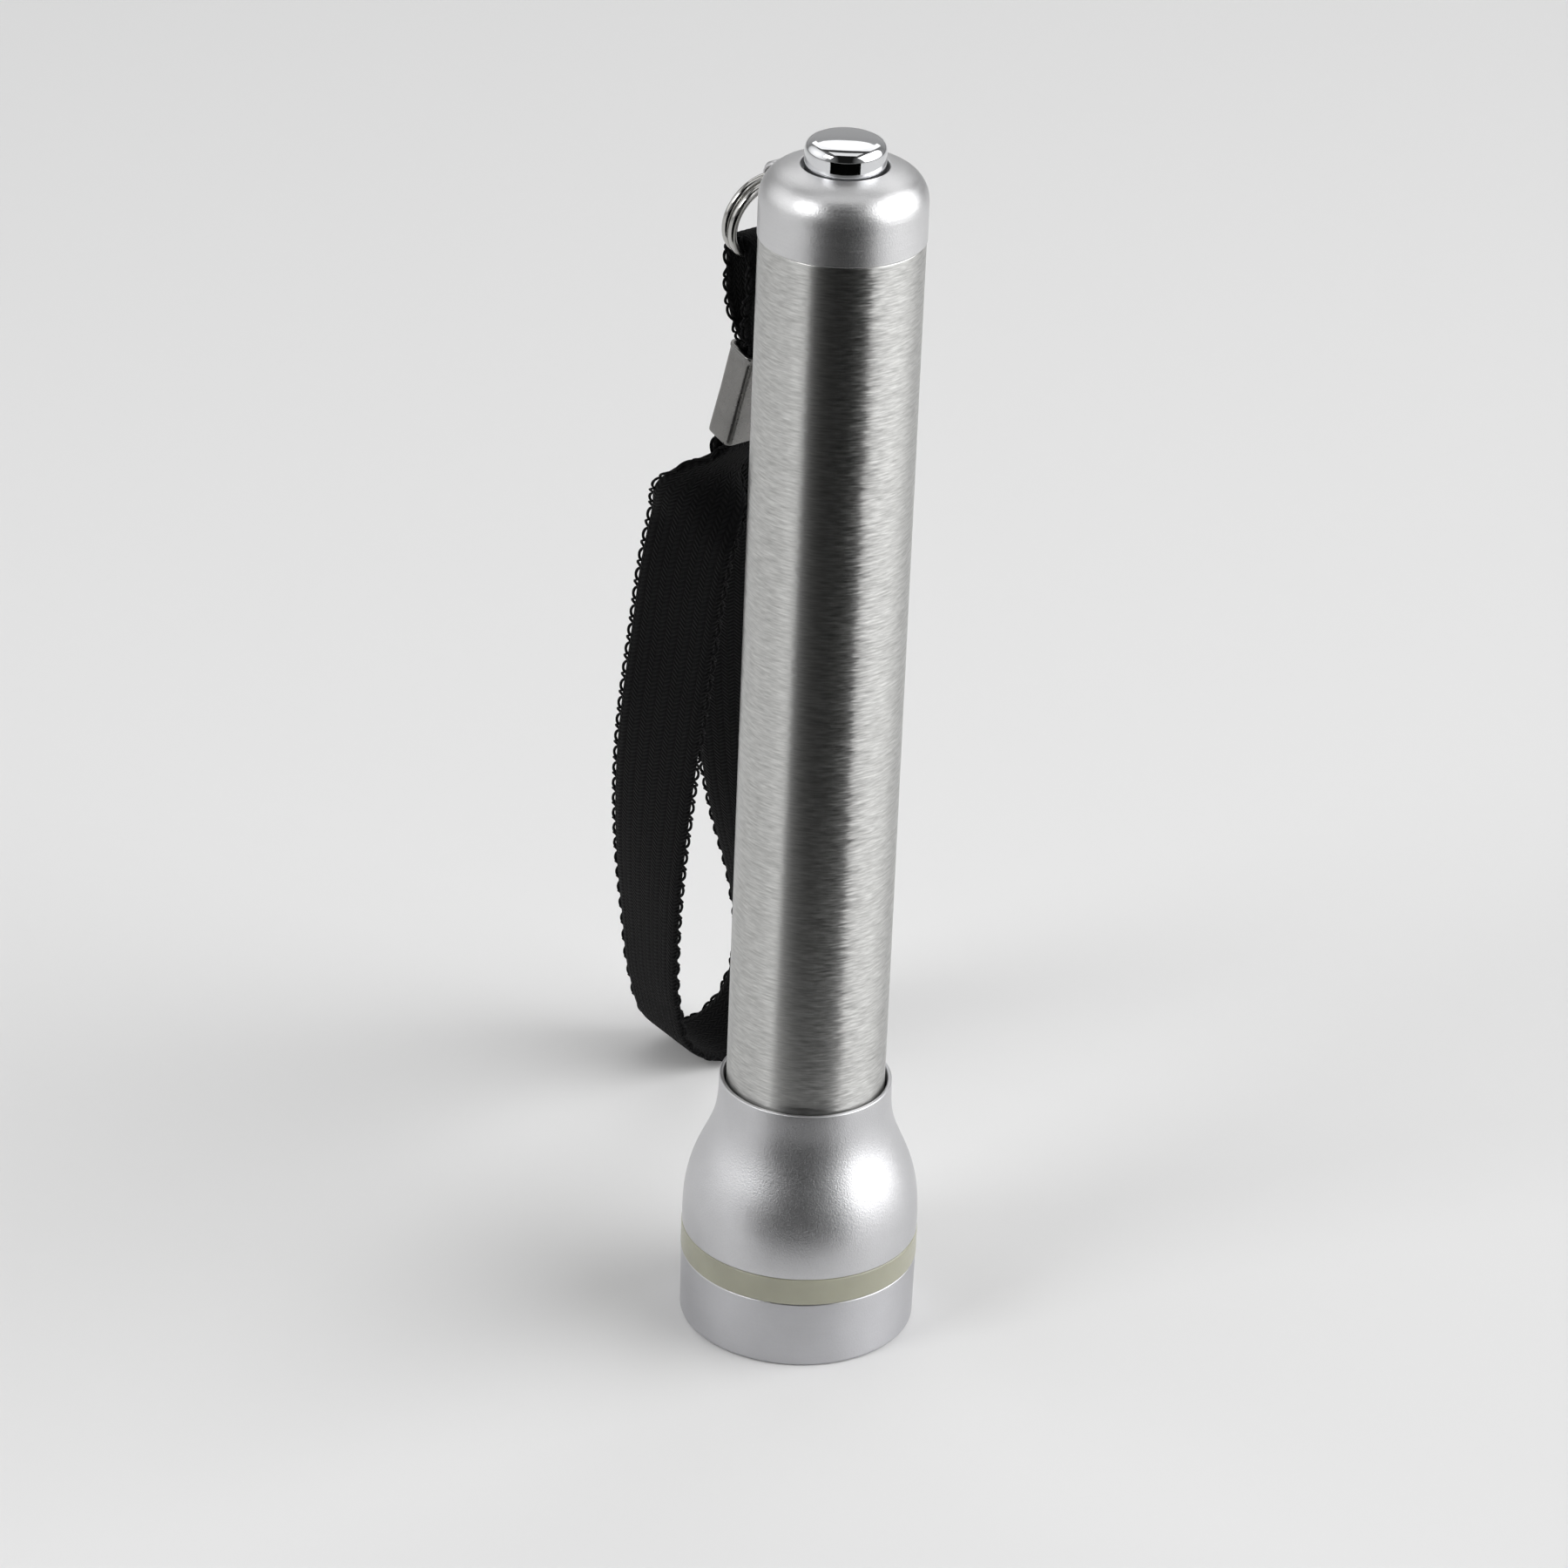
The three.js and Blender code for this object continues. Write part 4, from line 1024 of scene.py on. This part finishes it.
collar_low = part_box("front_collar")[0].z
cap_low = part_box("tail_cap")[0].z
thread("front_thread", FRONT_THREAD_R, collar_low, collar_low + FRONT_THREAD_LENGTH, "barrel")
thread("cap_thread", SKIRT_R, cap_low, cap_low + SKIRT_THREAD_LENGTH, "tail")

lamp_low, lamp_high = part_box("led_lamp")
disc_low = lamp_low.z + (lamp_high.z - lamp_low.z) * PHOSPHOR_RISE
disc_high = disc_low + PHOSPHOR_T
disc = ((0.0, disc_low), (PHOSPHOR_R, disc_low), (PHOSPHOR_R, disc_high), (0.0, disc_high))
disc = [np.array(point) for point in disc]
vertices, faces = turned_mesh(refined(disc, False), False, PHOSPHOR_SIDES)
add_piece("lamp_phosphor", vertices, faces, phosphor, "head")


# Floor, soft lamps and the room
FLOOR_SIZE = 8.0
FLOOR_TONE = tone(226, 226, 226)
LAMPS = {
    "lamp_right": {"at": (1.04, -0.10, 0.62), "size": (1.60, 1.20), "power": 7.4, "aim_z": 0.10, "fan": 100},
    "lamp_left": {"at": (-1.12, 0.04, 0.62), "size": (1.90, 1.20), "power": 2.1, "aim_z": 0.10, "fan": 100},
    "lamp_bell": {"at": (-0.75, -0.54, 0.72), "size": (0.42, 0.42), "power": 1.0, "aim_z": 0.03, "fan": 100},
    "lamp_top": {"at": (0, -0.12, 1.70), "size": (1.40, 1.00), "power": 4.2, "aim_z": 0.0, "fan": 180},
    "lamp_back": {"at": (0, 1.20, 1.32), "size": (1.80, 1.00), "power": 6.0, "aim_z": 0.08, "fan": 180},
}
ROOM_LOW = 0.01
ROOM_HIGH = 0.40
ROOM_FROM = 0.3
ROOM_TO = 0.95
CARD_CORNERS = ((-0.050, -0.046), (0.052, -0.046), (1.10, -1.20), (-1.05, -1.20))
CARD_HEIGHT = 0.001


def add_floor():
    half = FLOOR_SIZE / 2
    mesh = bpy.data.meshes.new("floor")
    corners = [(-half, -half, 0), (half, -half, 0), (half, half, 0), (-half, half, 0)]
    mesh.from_pydata(corners, [], [(0, 1, 2, 3)])
    surface = Shader("floor_matte", FLOOR_TONE, roughness=0.9, Specular_IOR_Level=0.1)
    mesh.materials.append(surface.material)
    floor = bpy.data.objects.new("floor", mesh)
    bpy.context.scene.collection.objects.link(floor)
    floor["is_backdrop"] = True


def add_card():
    """A dark studio card low in front, hidden from the camera, from diffuse light and from shadows, and seen only
    in reflections: a painted dark reflection, which gives the metal its dark middle.
    """
    mesh = bpy.data.meshes.new("dark_card")
    mesh.from_pydata([(x, y, CARD_HEIGHT) for x, y in CARD_CORNERS], [], [(3, 2, 1, 0)])
    mesh.materials.append(plain("card_black", tone(4, 4, 4), 0.9, Specular_IOR_Level=0.0))
    card = bpy.data.objects.new("dark_card", mesh)
    bpy.context.scene.collection.objects.link(card)
    card.visible_camera = False
    card.visible_diffuse = False
    card.visible_shadow = False
    card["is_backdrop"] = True


def add_lamp(name, at, size, power, aim_z, fan):
    """A soft box aimed at a height on the axis. Its fan is how wide its light opens, in degrees."""
    light = bpy.data.lights.new(name, "AREA")
    light.shape = "RECTANGLE"
    light.size, light.size_y = size
    light.energy = power
    light.spread = math.radians(fan)
    lamp = bpy.data.objects.new(name, light)
    lamp.location = at
    lamp.visible_camera = False
    lamp.rotation_euler = (Vector((0, 0, aim_z)) - Vector(at)).to_track_quat("-Z", "Y").to_euler()
    bpy.context.scene.collection.objects.link(lamp)


def add_room():
    """A soft room: brighter to the sides and the back than to the front."""
    world = bpy.data.worlds.new("room")
    bpy.context.scene.world = world
    world.use_nodes = True
    nodes, links = world.node_tree.nodes, world.node_tree.links
    place = nodes.new("ShaderNodeTexCoord")
    parts = nodes.new("ShaderNodeSeparateXYZ")
    links.new(place.outputs["Generated"], parts.inputs["Vector"])
    across = nodes.new("ShaderNodeMath")
    across.operation = "ABSOLUTE"
    links.new(parts.outputs["X"], across.inputs[0])
    side = nodes.new("ShaderNodeMath")
    side.operation = "MAXIMUM"
    links.new(across.outputs["Value"], side.inputs[0])
    links.new(parts.outputs["Y"], side.inputs[1])
    ramp = nodes.new("ShaderNodeMapRange")
    ramp.inputs["From Min"].default_value = ROOM_FROM
    ramp.inputs["From Max"].default_value = ROOM_TO
    ramp.inputs["To Min"].default_value = ROOM_LOW
    ramp.inputs["To Max"].default_value = ROOM_HIGH
    links.new(side.outputs["Value"], ramp.inputs["Value"])
    nodes["Background"].inputs["Color"].default_value = (1, 1, 1, 1)
    links.new(ramp.outputs["Result"], nodes["Background"].inputs["Strength"])


add_floor()
add_card()
for name, lamp in LAMPS.items():
    add_lamp(name, **lamp)
add_room()
bpy.context.scene.view_settings.view_transform = "Standard"

low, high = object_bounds()
